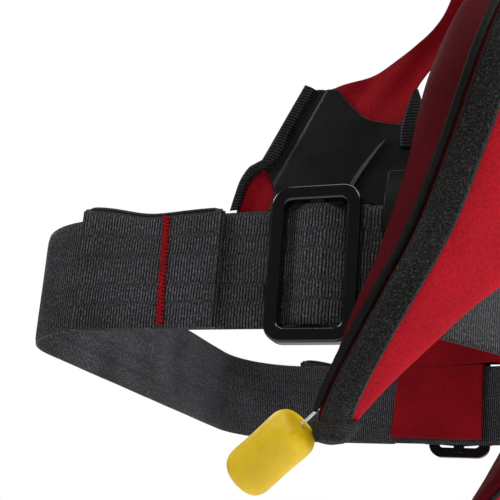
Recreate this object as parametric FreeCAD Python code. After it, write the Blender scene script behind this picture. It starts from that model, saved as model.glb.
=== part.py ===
import FreeCAD, Part
import math
import os

# Inflatable life jacket in its worn shape, in millimetres.
# The wearer stands along +Z and faces -Y; the wearer's right is -X.
# The origin is on the torso's axis at the height of the waist belt.

Vector = FreeCAD.Vector

# ---------------------------------------------------------------- driving dimensions
WEB_WIDTH = 50.0          # waist belt webbing
WEB_THICK = 1.8
LOOP_THICK = 1.5          # thinner webbing of the slider hump and the buckle loops
WAIST_SIDE_X = 150.0      # belt centre line at the flank
WAIST_BACK_Y = 125.0      # belt centre line at the back
WAIST_CORNER_Y = -53.0    # where the belt leaves the flank behind the lobe
WAIST_FRONT_X = 62.0      # where the belt reaches the straight front run
WAIST_FRONT_Y = -112.3
BELT_FRONT_END = 42.0     # where the belt ends beside the buckle socket
PLUG_TRAVEL = 24.0        # how far the buckle plug draws out of its socket
BACK_RADIUS = 45.0
CORNER_RADIUS = 30.0

COVER_THICK = 1.6         # lobe and collar fabric with its lining
LAYER_GAP = 0.3           # air between neighbouring soft layers
ROUNDNESS = 2.8           # exponent of the lobe's pillow section
SECTION_POINTS = 13       # spline points on half a section

TAPE_WIDTH = 13.0         # closure tape on the lobe's outer edge
TAPE_THICK = 1.6
TAPE_ANGLE = 146.0        # where the tape sits on the section, from the inner edge
PIPING_RADIUS = 1.6

SLIDER_LENGTH = 38.0      # along the belt
SLIDER_HEIGHT = 65.0
SLIDER_BAR = 6.0
SLIDER_THICK = 5.0
SLIDER_Y = -20.5          # slider centre at rest

HEM_START_Y = 22.0        # doubled belt end behind the slider
HEM_LENGTH = 67.0
HEM_THICK = 3.4

CYLINDER_RADIUS = 12.5    # gas cylinder
CYLINDER_LENGTH = 110.0
NECK_RADIUS = 6.35
WIRE_RADIUS = 0.6
WIRE_SHOWING = 7.0        # wire between the exit point and the toggle
TOGGLE_LENGTH = 34.0
TOGGLE_RADIUS = 10.3

BUCKLE_HEIGHT = 62.0
BUCKLE_THICK = 14.0

# Lobe sections at constant height: z, rear outer corner x and y, width, thickness,
# heading of the width from +X towards -Y in degrees.
LOBE_LEVELS = [
    (-68.0, -152.9, -24.6, 8.0, 10.0, 34.0),
    (-60.0, -160.0, -25.0, 14.0, 17.0, 34.0),
    (-51.0, -165.6, -28.0, 20.0, 21.5, 34.0),
    (-42.0, -170.0, -31.5, 26.0, 26.0, 34.0),
    (-24.0, -175.5, -38.5, 37.0, 34.0, 34.0),
    (0.0, -172.5, -44.5, 58.0, 42.0, 34.0),
    (30.0, -171.0, -50.5, 82.0, 48.0, 34.0),
    (70.0, -176.5, -59.5, 104.0, 54.0, 32.0),
    (120.0, -167.0, -75.0, 114.0, 50.0, 26.0),
    (180.0, -152.0, -88.5, 108.0, 44.0, 18.0),
    (240.0, -135.0, -86.0, 98.0, 39.0, 12.0),
]
# Sections over the shoulder and round the neck: centre, half width, half thickness,
# direction of the width (to the neck) and outward normal.
SHOULDER_LEVELS = [
    ((-93, -98, 293), 46, 18, (0.98, -0.12, 0.12), (-0.13, -0.85, 0.50)),
    ((-98, -58, 334), 42, 17, (0.98, 0.00, 0.18), (-0.15, -0.50, 0.85)),
]
COLLAR_LEVELS = [
    ((-101, -8, 352), 39, 16, (0.97, 0.00, 0.24), (-0.24, 0.05, 0.97)),
    ((-84, 48, 351), 38, 16, (0.80, -0.50, 0.33), (-0.30, 0.30, 0.90)),
    ((-46, 84, 345), 38, 16, (0.45, -0.78, 0.43), (-0.15, 0.45, 0.88)),
    ((0, 97, 341), 38, 16, (0.00, -0.88, 0.47), (0.00, 0.47, 0.88)),
]

parts = {}


# ---------------------------------------------------------------- small helpers
def unit(x, y, z):
    v = Vector(x, y, z)
    return v.normalize()


def box(x0, x1, y0, y1, z0, z1):
    return Part.makeBox(x1 - x0, y1 - y0, z1 - z0, Vector(x0, y0, z0))


def rod(radius, start, end):
    axis = end - start
    return Part.makeCylinder(radius, axis.Length, start, axis)


def tube(outer, inner, start, end):
    axis = (end - start).normalize()
    return rod(outer, start, end).cut(rod(inner, start - axis, end + axis))


def mirrored(shape):
    return shape.mirror(Vector(0, 0, 0), Vector(1, 0, 0))


def both_sides(name, shape):
    """Keep the wearer's right piece and its mirror image on the left."""
    parts["right_" + name] = shape
    parts["left_" + name] = mirrored(shape)


def round_edges(shape, radius, chosen):
    edges = [e for e in shape.Edges if chosen(e)]
    return shape.makeFillet(radius, edges)


def along(edge, axis):
    """True when a straight edge runs along the given axis (0, 1 or 2)."""
    a = edge.Vertexes[0].Point
    b = edge.Vertexes[-1].Point
    step = [abs(b.x - a.x), abs(b.y - a.y), abs(b.z - a.z)]
    return step[axis] > 0.99 * sum(step) and sum(step) > 0.1


# ---------------------------------------------------------------- pillow sections
class Section:
    """A rounded pillow section: centre, width direction, outward normal, half sizes."""

    def __init__(self, centre, across, normal, half_width, half_thick):
        self.centre = centre
        self.across = across
        self.normal = normal
        self.half_width = half_width
        self.half_thick = half_thick

    def point(self, degrees, offset=0.0):
        c = math.cos(math.radians(degrees))
        s = math.sin(math.radians(degrees))
        p = math.copysign(abs(c) ** (2 / ROUNDNESS), c) * (self.half_width + offset)
        q = math.copysign(abs(s) ** (2 / ROUNDNESS), s) * (self.half_thick + offset)
        return self.centre + self.across * p + self.normal * q

    def angle_at_distance(self, degrees, distance):
        """The section angle a given arc distance away from an angle."""
        step = math.copysign(1.0, distance)
        run = 0.0
        angle = degrees
        here = self.point(angle)
        while run < abs(distance):
            angle += step
            there = self.point(angle)
            run += (there - here).Length
            here = there
        return angle

    def mirrored(self):
        flip = Vector(-1, 1, 1)
        return Section(
            scaled(self.centre, flip), scaled(self.across, flip), scaled(self.normal, flip),
            self.half_width, self.half_thick)


def scaled(v, factors):
    return Vector(v.x * factors.x, v.y * factors.y, v.z * factors.z)


def level_section(z, x, y, width, thick, heading):
    turn = math.radians(heading)
    across = Vector(math.cos(turn), -math.sin(turn), 0)
    normal = Vector(-math.sin(turn), -math.cos(turn), 0)
    centre = Vector(x, y, z) + across * (width / 2) + normal * (thick / 2)
    return Section(centre, across, normal, width / 2, thick / 2)


def free_section(centre, half_width, half_thick, across, normal):
    w = unit(*across)
    n = Vector(*normal)
    n = (n - w * n.dot(w)).normalize()
    return Section(Vector(*centre), w, n, half_width, half_thick)


LOBE = [level_section(*level) for level in LOBE_LEVELS]
SHOULDER = [free_section(*level) for level in SHOULDER_LEVELS]
COLLAR = [free_section(*level) for level in COLLAR_LEVELS]
COVERED = LOBE + SHOULDER


def spline(points):
    curve = Part.BSplineCurve()
    curve.interpolate(points)
    return curve.toShape()


def strip_wire(section, start, end, low, high):
    """A closed strip of the section's skin between two angles and two offsets."""
    steps = [start + (end - start) * i / (SECTION_POINTS - 1) for i in range(SECTION_POINTS)]
    outer = [section.point(a, high) for a in steps]
    inner = [section.point(a, low) for a in reversed(steps)]
    sides = [
        spline(outer),
        Part.makeLine(outer[-1], inner[0]),
        spline(inner),
        Part.makeLine(inner[-1], outer[0]),
    ]
    return Part.Wire(sides)


def skin(sections, start, end, low, high):
    """A curved shell lofted through the sections; start and end may be functions."""
    wires = []
    for section in sections:
        first = start(section) if callable(start) else start
        last = end(section) if callable(end) else end
        wires.append(strip_wire(section, first, last, low, high))
    return Part.makeLoft(wires, True, True)


def pillow(sections):
    """A closed pillow lofted through whole sections."""
    wires = []
    for section in sections:
        loop = [section.point(a) for a in range(0, 360, 15)]
        curve = Part.BSplineCurve()
        curve.interpolate(loop, PeriodicFlag=True)
        wires.append(Part.Wire([curve.toShape()]))
    return Part.makeLoft(wires, True, True)


# ---------------------------------------------------------------- plan paths
def waist_path(side=1):
    """Corner points and fillet radii of the belt's centre line on one flank."""
    return [
        (Vector(0, WAIST_BACK_Y, 0), 0),
        (Vector(-side * WAIST_SIDE_X, WAIST_BACK_Y, 0), BACK_RADIUS),
        (Vector(-side * WAIST_SIDE_X, WAIST_CORNER_Y, 0), CORNER_RADIUS),
        (Vector(-side * WAIST_FRONT_X, WAIST_FRONT_Y, 0), CORNER_RADIUS),
        (Vector(-side * BELT_FRONT_END, WAIST_FRONT_Y, 0), 0),
    ]


def path_edges(path, shift):
    """Lines and arcs of a filleted plan path moved to its left by shift."""
    points = [p for p, _ in path]
    headings = [(points[i + 1] - points[i]).normalize() for i in range(len(points) - 1)]
    lefts = [Vector(-h.y, h.x, 0) for h in headings]
    edges = []
    last = points[0] + lefts[0] * shift
    for i in range(1, len(points) - 1):
        h0, h1 = headings[i - 1], headings[i]
        turn = math.atan2(h0.x * h1.y - h0.y * h1.x, h0.dot(h1))
        mitre = (lefts[i - 1] + lefts[i]) * (shift / (1 + lefts[i - 1].dot(lefts[i])))
        corner = points[i] + mitre
        radius = path[i][1] - shift * math.copysign(1.0, turn)
        reach = radius * math.tan(abs(turn) / 2)
        start = corner - h0 * reach
        end = corner + h1 * reach
        bulge = radius * (1 / math.cos(turn / 2) - 1)
        middle = corner + (h1 - h0).normalize() * bulge
        edges.append(Part.makeLine(last, start))
        edges.append(Part.Arc(start, middle, end).toShape())
        last = end
    edges.append(Part.makeLine(last, points[-1] + lefts[-1] * shift))
    return edges


def wall(path, shift_a, shift_b, z0, z1):
    """An upright wall between two shifts of a plan path."""
    first = path_edges(path, shift_a)
    second = path_edges(path, shift_b)
    caps = [
        Part.makeLine(first[0].valueAt(first[0].FirstParameter),
                      second[0].valueAt(second[0].FirstParameter)),
        Part.makeLine(first[-1].valueAt(first[-1].LastParameter),
                      second[-1].valueAt(second[-1].LastParameter)),
    ]
    ordered = Part.__sortEdges__(first + second + caps)
    face = Part.Face(Part.Wire(ordered))
    face.translate(Vector(0, 0, z0))
    return face.extrude(Vector(0, 0, z1 - z0))


def side_prism(outline):
    """A prism along X through the wearer's right flank from a (y, z) outline."""
    loop = [Vector(-260, y, z) for y, z in outline]
    face = Part.Face(Part.makePolygon(loop + loop[:1]))
    return face.extrude(Vector(260, 0, 0))


# ---------------------------------------------------------------- covers
def tape_front(section):
    return section.angle_at_distance(TAPE_ANGLE, -TAPE_WIDTH / 2)


def tape_rear(section):
    return section.angle_at_distance(TAPE_ANGLE, TAPE_WIDTH / 2)


def make_covers():
    seam = 3.0
    middle = TAPE_ANGLE
    front = skin(COVERED, seam, middle - 0.5, -COVER_THICK, 0)
    rear = skin(COVERED, middle + 0.5, 360 - seam, -COVER_THICK, 0)
    exit_hole = rod(3.0, WIRE_EXIT - WIRE_AXIS * 14, WIRE_EXIT + WIRE_AXIS * 14)
    tape_low = LAYER_GAP
    tape_high = LAYER_GAP + TAPE_THICK
    tape = skin(COVERED[:-1], tape_front, tape_rear, tape_low, tape_high)
    piping = make_piping(COVERED[1:-1])
    parts["right_front_cover"] = front.cut(exit_hole)
    parts["left_front_cover"] = mirrored(front)
    parts["right_back_cover"] = rear.cut(exit_hole)
    parts["left_back_cover"] = mirrored(rear)
    parts["right_closure_tape"] = tape.cut(exit_hole)
    parts["left_closure_tape"] = mirrored(tape)
    parts["right_closure_piping"] = piping
    parts["left_closure_piping"] = mirrored(piping)
    ring = [SHOULDER[-1]] + COLLAR + [s.mirrored() for s in reversed(COLLAR[:-1])]
    ring.append(SHOULDER[-1].mirrored())
    parts["collar_outer_cover"] = skin(ring, seam, 180 - seam, -COVER_THICK, 0)
    parts["collar_inner_cover"] = skin(ring, 180 + seam, 360 - seam, -COVER_THICK, 0)


def make_piping(sections):
    """The round roll on the rear edge of the closure tape."""
    wires = []
    lift = LAYER_GAP + PIPING_RADIUS
    for section in sections:
        angle = section.angle_at_distance(TAPE_ANGLE, TAPE_WIDTH / 2 + PIPING_RADIUS + 0.6)
        centre = section.point(angle, lift + 0.4)
        loop = []
        for i in range(8):
            turn = math.radians(45 * i)
            reach = section.across * math.cos(turn) + section.normal * math.sin(turn)
            loop.append(centre + reach * PIPING_RADIUS)
        wires.append(Part.makePolygon(loop + loop[:1]))
    return Part.makeLoft(wires, True, True)


def part_section(section, first, last, shrink):
    """The share of a section's width between two fractions, made thinner."""
    width = 2 * section.half_width
    middle = (first + last) / 2 - 0.5
    centre = section.centre + section.across * (width * middle)
    half = width * (last - first) / 2
    return Section(centre, section.across, section.normal, half, section.half_thick - shrink)


def make_bladder():
    """The folded bladder: narrow beside the fittings, full width above them."""
    low = [part_section(s, 0.68, 0.91, 6.0) for s in LOBE[6:9]]
    high = [part_section(s, 0.08, 0.92, 5.0) for s in LOBE[9:] + SHOULDER + COLLAR]
    right = low + high
    left = [s.mirrored() for s in reversed(right[:-1])]
    parts["bladder"] = pillow(right + left)


# ---------------------------------------------------------------- side wings
WING_OUTLINE = [
    (22, -22), (18.5, 20), (17, 33), (14.5, 41), (11.5, 45), (6.5, 48), (-10.5, 81),
    (-22, 80.8), (-35, 84), (-47, 90), (-56, 96), (-65.5, 107), (-72, 124), (-75, 148),
    (-84, 148), (-83, 130), (-77, 108), (-66, 90), (-57.5, 76), (-62, 68), (-64, 58),
    (-62, 44), (-59, 34), (-48, 28.5), (-36, 26), (-36, -22),
]
PATCH_OUTLINE = [
    (3, 27.5), (1, 34), (6.5, 46.5), (-11.5, 79.5), (-24, 78.8), (-30, 71), (-36, 65),
    (-48, 58), (-51, 57), (-53, 64), (-56, 74), (-57.5, 75), (-61.5, 67), (-63, 58),
    (-61, 44), (-57, 31), (-55, 27.5),
]
BINDING_OUTLINE = [
    (20, 26.5), (18.5, 33), (16, 41), (12.5, 46), (7.5, 48.5), (-9.5, 81.5),
    (-14.4, 78.9), (2.6, 45.9), (9.5, 42.5), (12.7, 38.5), (14.8, 32), (16.3, 26.5),
]


def wing_path():
    """Plan line of the wing: inside the belt at the flank, flaring towards the lobe."""
    x = WAIST_SIDE_X - WEB_THICK / 2 - LAYER_GAP
    return [
        (Vector(-x, 60, 0), 0),
        (Vector(-x, -56, 0), CORNER_RADIUS),
        (Vector(-x + 11, -110, 0), 0),
    ]


def make_wings():
    sheet = 1.2
    patch_in = sheet
    wing_in = patch_in + LAYER_GAP
    patch = wall(wing_path(), 0, patch_in, 20, 90)
    both_sides("wing_patch", patch.common(side_prism(PATCH_OUTLINE)))
    wing = wall(wing_path(), wing_in, wing_in + sheet, -22, 165)
    both_sides("side_wing", wing.common(side_prism(WING_OUTLINE)))
    binding = wall(wing_path(), -sheet - LAYER_GAP, -LAYER_GAP, 20, 90)
    both_sides("wing_binding", binding.common(side_prism(BINDING_OUTLINE)))


# ---------------------------------------------------------------- waist belt
def make_belt():
    half = WEB_THICK / 2
    side = WEB_WIDTH / 2
    back_y = 60.0
    whole = wall(waist_path(), -half, half, -side, side)
    rear_zone = box(-260, 0, back_y, 260, -100, 100)
    front_zone = box(-260, 0, -260, back_y, -100, 100)
    rear = whole.common(rear_zone)
    parts["waist_belt_back"] = rear.fuse(mirrored(rear)).removeSplitter()
    flank = whole.common(front_zone)
    parts["waist_belt_right"] = flank
    plug_room = box(-200, -PLUG_X1 - PLUG_TRAVEL - 4, -260, back_y, -100, 100)
    parts["waist_belt_left"] = mirrored(flank.common(plug_room))
    hem_path = [
        (Vector(-WAIST_SIDE_X, HEM_START_Y, 0), 0),
        (Vector(-WAIST_SIDE_X, WAIST_BACK_Y, 0), BACK_RADIUS),
        (Vector(-100, WAIST_BACK_Y, 0), 0),
    ]
    low = half + LAYER_GAP
    hem = wall(hem_path, low, low + HEM_THICK, -side - 0.5, side + 3.5)
    hem = hem.common(box(-260, 0, -260, HEM_START_Y + HEM_LENGTH - 3, -100, 100))
    both_sides("belt_hem", hem)
    stitch_x = WAIST_SIDE_X + low + HEM_THICK
    bartack = box(-stitch_x - 0.6, -stitch_x, 43, 47, -21, 21)
    both_sides("hem_bartack", bartack)


# ---------------------------------------------------------------- belt slider
def make_slider():
    inner = WAIST_SIDE_X + WEB_THICK / 2 + 0.2
    under = inner + LOOP_THICK + 0.4
    outer = under + SLIDER_THICK
    y0 = SLIDER_Y - SLIDER_LENGTH / 2
    y1 = SLIDER_Y + SLIDER_LENGTH / 2
    top = SLIDER_HEIGHT / 2
    frame = box(-outer, -under, y0, y1, -top, top)
    frame = round_edges(frame, 8.0, lambda e: along(e, 0))
    window = box(-outer - 1, -under + 1, y0 + SLIDER_BAR, y1 - SLIDER_BAR,
                 -top + SLIDER_BAR, top - SLIDER_BAR)
    window = round_edges(window, 3.0, lambda e: along(e, 0))
    frame = frame.cut(window)
    frame = round_edges(frame, 1.2, lambda e: abs(e.BoundBox.XMax + outer) < 0.01)
    bar_outer = under + 2.4
    bar = box(-bar_outer, -inner - 0.2, SLIDER_Y - 3, SLIDER_Y + 3, -top + 3, top - 3)
    both_sides("belt_slider", frame.fuse(bar).removeSplitter())
    both_sides("slider_webbing", slider_hump(inner + 0.1, bar_outer + 0.2))


def slider_hump(base, crest):
    """Webbing that dips under both end bars and rises over the middle bar."""
    reach = SLIDER_LENGTH / 2 + 2.0
    low = SLIDER_LENGTH / 2 - SLIDER_BAR - 1.0
    flat = 3.6
    centre_line = [
        (reach, base), (low, base), (flat, crest), (-flat, crest), (-low, base), (-reach, base),
    ]
    outer = [Vector(-x - LOOP_THICK, SLIDER_Y + y, 0) for y, x in centre_line]
    inner = [Vector(-x, SLIDER_Y + y, 0) for y, x in reversed(centre_line)]
    face = Part.Face(Part.makePolygon(outer + inner + outer[:1]))
    half = WEB_WIDTH / 2
    face.translate(Vector(0, 0, -half))
    return face.extrude(Vector(0, 0, WEB_WIDTH))


# ---------------------------------------------------------------- front buckle
BUCKLE_BAR = 3.0                   # half thickness of the webbing bars
BUCKLE_Y = WAIST_FRONT_Y - WEB_THICK / 2 - LOOP_THICK - BUCKLE_BAR - 2 * LAYER_GAP
SOCKET_X0 = -38.0
SOCKET_X1 = 0.0
PLUG_X1 = 24.0
PRONG_LENGTH = 26.0
PRONG_Z = 17.0


def make_buckle():
    half = BUCKLE_HEIGHT / 2
    y0 = BUCKLE_Y - BUCKLE_THICK / 2
    y1 = BUCKLE_Y + BUCKLE_THICK / 2
    wall_t = 2.5
    socket = box(SOCKET_X0, SOCKET_X1, y0, y1, -half, half)
    socket = round_edges(socket, 4.0, lambda e: along(e, 0))
    cavity = box(SOCKET_X0 + 10, SOCKET_X1 + 1, y0 + wall_t, y1 - wall_t,
                 -half + 4, half - 4)
    thumb = box(-26, -12, y0 + wall_t, y1 - wall_t, -half - 1, half + 1)
    slot = box(SOCKET_X0 + 3.5, SOCKET_X0 + 7.5, y0 - 1, y1 + 1, -26, 26)
    socket = socket.cut(cavity).cut(thumb).cut(slot)
    parts["buckle_socket"] = thin_bar(socket, SOCKET_X0 - 1, SOCKET_X0 + 5.5)
    plug = box(0.4, PLUG_X1, y0, y1, -half, half)
    plug = round_edges(plug, 4.0, lambda e: along(e, 0))
    plug_slot = box(PLUG_X1 - 7.5, PLUG_X1 - 3.5, y0 - 1, y1 + 1, -26, 26)
    recess = box(-1, 7, y0 + 3, y1 - 3, -26, 26)
    tongue = box(-24, 7.0, BUCKLE_Y - 2, BUCKLE_Y + 2, -8, 8)
    plug = plug.cut(plug_slot).cut(recess).fuse(tongue).removeSplitter()
    plug = thin_bar(plug, PLUG_X1 - 5.5, PLUG_X1 + 1)
    for name, side in (("upper", 1), ("lower", -1)):
        parts["buckle_prong_" + name] = make_prong(side)
        pin = rod(1.5, Vector(3.5, y0 + 1.0, side * PRONG_Z), Vector(3.5, y1 - 1.0, side * PRONG_Z))
        parts["prong_pin_" + name] = pin
        plug = plug.cut(pin)
    parts["buckle_plug"] = plug
    parts["socket_webbing"] = loop_webbing(SOCKET_X0 + 1.75, -1)
    parts["plug_webbing"] = loop_webbing(PLUG_X1 - 1.75, 1)


def thin_bar(body, x0, x1):
    """Thin a buckle body to its webbing bar between two x values."""
    for y0, y1 in ((-20, -BUCKLE_BAR), (BUCKLE_BAR, 20)):
        body = body.cut(box(x0, x1, BUCKLE_Y + y0, BUCKLE_Y + y1, -26, 26))
    return body


def make_prong(side):
    """A spring arm with a latch shoulder that shows in the socket's thumb opening."""
    thick = 3.2
    outline = [(3.5, -3), (-20, -3), (-24, 0), (-22, 7.5), (-14, 7.5), (-12, 3), (3.5, 3)]
    loop = [Vector(x, BUCKLE_Y - thick, side * (PRONG_Z + z)) for x, z in outline]
    face = Part.Face(Part.makePolygon(loop + loop[:1]))
    arm = face.extrude(Vector(0, 2 * thick, 0))
    eye = rod(3.0, Vector(3.5, BUCKLE_Y - thick, side * PRONG_Z),
              Vector(3.5, BUCKLE_Y + thick, side * PRONG_Z))
    bore = rod(1.55, Vector(3.5, BUCKLE_Y - 9, side * PRONG_Z),
               Vector(3.5, BUCKLE_Y + 9, side * PRONG_Z))
    return arm.fuse(eye).removeSplitter().cut(bore)


def loop_webbing(bar_x, side):
    """Webbing folded round a buckle's bar, in plan; side is its way from the buckle."""
    front_y = BUCKLE_Y - BUCKLE_BAR - LAYER_GAP
    rear_y = BUCKLE_Y + BUCKLE_BAR + LAYER_GAP
    inner_x = bar_x - side * 2.2
    outer_x = bar_x + side * 33.0
    t = LOOP_THICK
    xs = sorted((inner_x - side * t, outer_x))
    shell = box(xs[0], xs[1], front_y - t, rear_y + t, -WEB_WIDTH / 2, WEB_WIDTH / 2)
    xs = sorted((inner_x, outer_x + side))
    return shell.cut(box(xs[0], xs[1], front_y, rear_y, -99, 99))


# ---------------------------------------------------------------- hanging loop
def make_hanging_loop():
    foot = COLLAR[-1].point(110, 0.5)
    ear = tube(13, 11.5, foot - Vector(10, 0, 0), foot + Vector(10, 0, 0))
    above = box(-20, 20, -40, 40, 0.5, 40)
    lean = math.degrees(math.atan2(COLLAR[-1].normal.y, COLLAR[-1].normal.z))
    above.rotate(Vector(0, 0, 0), Vector(1, 0, 0), -lean)
    above.translate(foot)
    parts["hanging_loop"] = ear.common(above)


# ---------------------------------------------------------------- fittings in the lobes
FITTING_ORIGIN = Vector(-162.0, -79.5, 7)      # cylinder axis at belt height
FITTING_TOP = Vector(-149.0, -111.5, 120)
FITTING_ACROSS = Vector(0.829, -0.559, 0)


def fitting_placement():
    z_axis = (FITTING_TOP - FITTING_ORIGIN).normalize()
    x_axis = (FITTING_ACROSS - z_axis * FITTING_ACROSS.dot(z_axis)).normalize()
    y_axis = z_axis.cross(x_axis)
    matrix = FreeCAD.Matrix(
        x_axis.x, y_axis.x, z_axis.x, FITTING_ORIGIN.x,
        x_axis.y, y_axis.y, z_axis.y, FITTING_ORIGIN.y,
        x_axis.z, y_axis.z, z_axis.z, FITTING_ORIGIN.z,
        0, 0, 0, 1)
    return FreeCAD.Placement(matrix)


FITTING = fitting_placement()
LEVER_PIVOT = Vector(-6, 3, -20)
LEVER_HALF = 2.8           # half thickness of the lever
LEVER_ARM = 22.0
WIRE_INNER = FITTING.multVec(LEVER_PIVOT + Vector(-2, 0, -LEVER_ARM - 3.5))
WIRE_EXIT = Vector(-160.5, -26.0, -60.5)
WIRE_AXIS = (WIRE_EXIT - WIRE_INNER).normalize()


def in_lobe(shape):
    """Place a shape made in the fittings' own frame into the right lobe."""
    placed = shape.copy()
    placed.Placement = FITTING.multiply(placed.Placement)
    return placed


def on_axis(radius, z0, z1, x=0.0, y=0.0):
    return rod(radius, Vector(x, y, z0), Vector(x, y, z1))


def make_inflator():
    body = box(-13, 9, -7, 9.3, -27, 14)
    body = round_edges(body, 3.0, lambda e: along(e, 2))
    body = body.cut(on_axis(NECK_RADIUS + 0.05, 3, 20))
    body = body.cut(on_axis(2.05, -12, 4))
    lever_y0 = LEVER_PIVOT.y - LEVER_HALF
    lever_y1 = LEVER_PIVOT.y + LEVER_HALF
    body = body.cut(box(-14, 2, lever_y0 - 0.4, lever_y1 + 0.4, -31, -11.5))
    pin_line = (Vector(-6, -8, -20), Vector(-6, 12, -20))
    body = body.cut(rod(1.5, *pin_line))
    parts["inflator_body"] = in_lobe(body)
    parts["lever_pin"] = in_lobe(rod(1.5, Vector(-6, -7, -20), Vector(-6, 9.3, -20)))
    arm = box(-9, -3, lever_y0, lever_y1, -20 - LEVER_ARM, -20)
    cam = rod(5.0, Vector(-6, lever_y0, -20), Vector(-6, lever_y1, -20))
    lever = arm.fuse(cam).removeSplitter()
    lever = lever.cut(rod(1.55, *pin_line))
    lever = lever.cut(rod(1.2, Vector(-6, -2, -35), Vector(-6, 9, -35)))
    parts["inflator_lever"] = in_lobe(lever)
    parts["piercing_pin"] = in_lobe(
        on_axis(2.0, -9.0, -2.5).fuse(Part.makeCone(2.0, 0.4, 2.8, Vector(0, 0, -2.5))))
    neck = on_axis(NECK_RADIUS, 3.6, 18)
    shoulder = Part.makeCone(NECK_RADIUS, CYLINDER_RADIUS, 8, Vector(0, 0, 18))
    tank = on_axis(CYLINDER_RADIUS, 26, 18 + CYLINDER_LENGTH)
    tank = tank.fuse(neck).fuse(shoulder).removeSplitter()
    tank = round_edges(tank, 9.0, lambda e: e.BoundBox.ZMin > CYLINDER_LENGTH)
    parts["gas_cylinder"] = in_lobe(tank)
    parts["manifold_stem"] = in_lobe(rod(4.5, Vector(9.2, 2, -4), Vector(23, 2, -4)))
    parts["manifold_nut"] = in_lobe(tube(8.5, 4.55, Vector(12, 2, -4), Vector(17, 2, -4)))
    parts["status_pin"] = in_lobe(rod(1.8, Vector(5, -7.2, -20), Vector(5, -9.2, -20)))


def make_pull():
    """The pull wire leaves the lobe's tip and carries the toggle."""
    start = WIRE_EXIT + WIRE_AXIS * WIRE_SHOWING
    end = start + WIRE_AXIS * TOGGLE_LENGTH
    toggle = rod(TOGGLE_RADIUS, start, end)
    toggle = toggle.makeFillet(4.5, toggle.Edges[:1] + toggle.Edges[2:])
    toggle = toggle.cut(rod(WIRE_RADIUS, start - WIRE_AXIS, start + WIRE_AXIS * 12))
    parts["pull_toggle"] = toggle
    parts["pull_wire"] = rod(WIRE_RADIUS, WIRE_INNER, start + WIRE_AXIS * 12)


def make_oral_inflation():
    tube_top = 70.0
    stalk = tube(6.0, 4.2, Vector(-4, 0, -12), Vector(-4, 0, tube_top))
    flange = tube(13.0, 4.2, Vector(-4, 0, -12), Vector(-4, 0, -9))
    pieces = {"oral_tube": stalk.fuse(flange).removeSplitter()}
    valve = tube(8.0, 4.55, Vector(-4, 0, tube_top), Vector(-4, 0, 90))
    seat = tube(4.55, 2.6, Vector(-4, 0, 72), Vector(-4, 0, 74))
    pieces["oral_valve_body"] = valve.fuse(seat).removeSplitter()
    head = on_axis(4.5, 84.5, 88.0, -4)
    stem = on_axis(1.8, 71.5, 84.5, -4)
    foot = on_axis(3.6, 68.5, 71.5, -4)
    pieces["oral_valve_plunger"] = head.fuse(stem).fuse(foot).removeSplitter()
    pieces["oral_valve_spring"] = tube(3.9, 2.2, Vector(-4, 0, 74.2), Vector(-4, 0, 80.5))
    cup = on_axis(10.0, 78.0, 96.0, -4).cut(on_axis(8.1, 77.0, 94.0, -4))
    pieces["oral_cap"] = cup
    whistle = box(14, 24, -7, 5, 5, 52)
    whistle = round_edges(whistle, 3.0, lambda e: along(e, 2))
    whistle = whistle.cut(box(16.5, 21.5, -4.5, 2.5, 12, 53))
    pieces["whistle"] = whistle.cut(box(16.5, 21.5, -8, -4, 34, 40))
    pieces["rescue_light"] = on_axis(7.5, 62, 100, 20)
    for name, shape in pieces.items():
        parts[name] = mirrored(in_lobe(shape))


# ---------------------------------------------------------------- build
make_covers()
make_bladder()
make_wings()
make_belt()
make_slider()
make_buckle()
make_hanging_loop()
make_inflator()
make_pull()
make_oral_inflation()

os.makedirs("parts", exist_ok=True)
for name, shape in parts.items():
    shape.exportStep("parts/%s.step" % name)
    state = "valid" if shape.isValid() else "INVALID"
    print("%-24s %s solids=%d volume=%.1f" % (name, state, len(shape.Solids), shape.Volume))
print("nodes", len(parts))
print("wire inner", WIRE_INNER, "exit", WIRE_EXIT, "axis", WIRE_AXIS)
print("fitting z axis", FITTING.Rotation.multVec(Vector(0, 0, 1)))
print("fitting y axis", FITTING.Rotation.multVec(Vector(0, 1, 0)))
print("lever pivot", FITTING.multVec(LEVER_PIVOT))
print("oral base", FITTING.multVec(Vector(-4, 0, 0)))
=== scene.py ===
import math

import bpy
import numpy as np
from mathutils import Matrix, Vector, noise


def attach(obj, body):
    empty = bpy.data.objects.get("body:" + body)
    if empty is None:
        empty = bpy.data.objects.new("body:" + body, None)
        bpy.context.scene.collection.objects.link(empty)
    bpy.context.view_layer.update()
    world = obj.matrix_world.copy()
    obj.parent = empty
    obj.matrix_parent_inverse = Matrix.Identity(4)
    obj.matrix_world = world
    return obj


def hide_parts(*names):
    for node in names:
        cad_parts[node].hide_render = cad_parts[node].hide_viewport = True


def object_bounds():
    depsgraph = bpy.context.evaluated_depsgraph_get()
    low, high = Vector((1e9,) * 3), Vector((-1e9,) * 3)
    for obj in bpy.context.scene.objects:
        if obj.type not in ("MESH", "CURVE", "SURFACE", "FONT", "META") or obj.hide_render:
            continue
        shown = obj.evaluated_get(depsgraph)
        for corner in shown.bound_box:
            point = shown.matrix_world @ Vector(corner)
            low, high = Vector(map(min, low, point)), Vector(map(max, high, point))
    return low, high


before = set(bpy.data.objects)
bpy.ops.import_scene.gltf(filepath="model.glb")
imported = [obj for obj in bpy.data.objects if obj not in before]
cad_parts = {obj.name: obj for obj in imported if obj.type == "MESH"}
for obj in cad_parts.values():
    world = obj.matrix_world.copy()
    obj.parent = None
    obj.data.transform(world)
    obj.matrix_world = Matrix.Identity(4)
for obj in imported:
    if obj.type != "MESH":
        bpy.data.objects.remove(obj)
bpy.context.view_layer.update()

MM = 0.001

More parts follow.
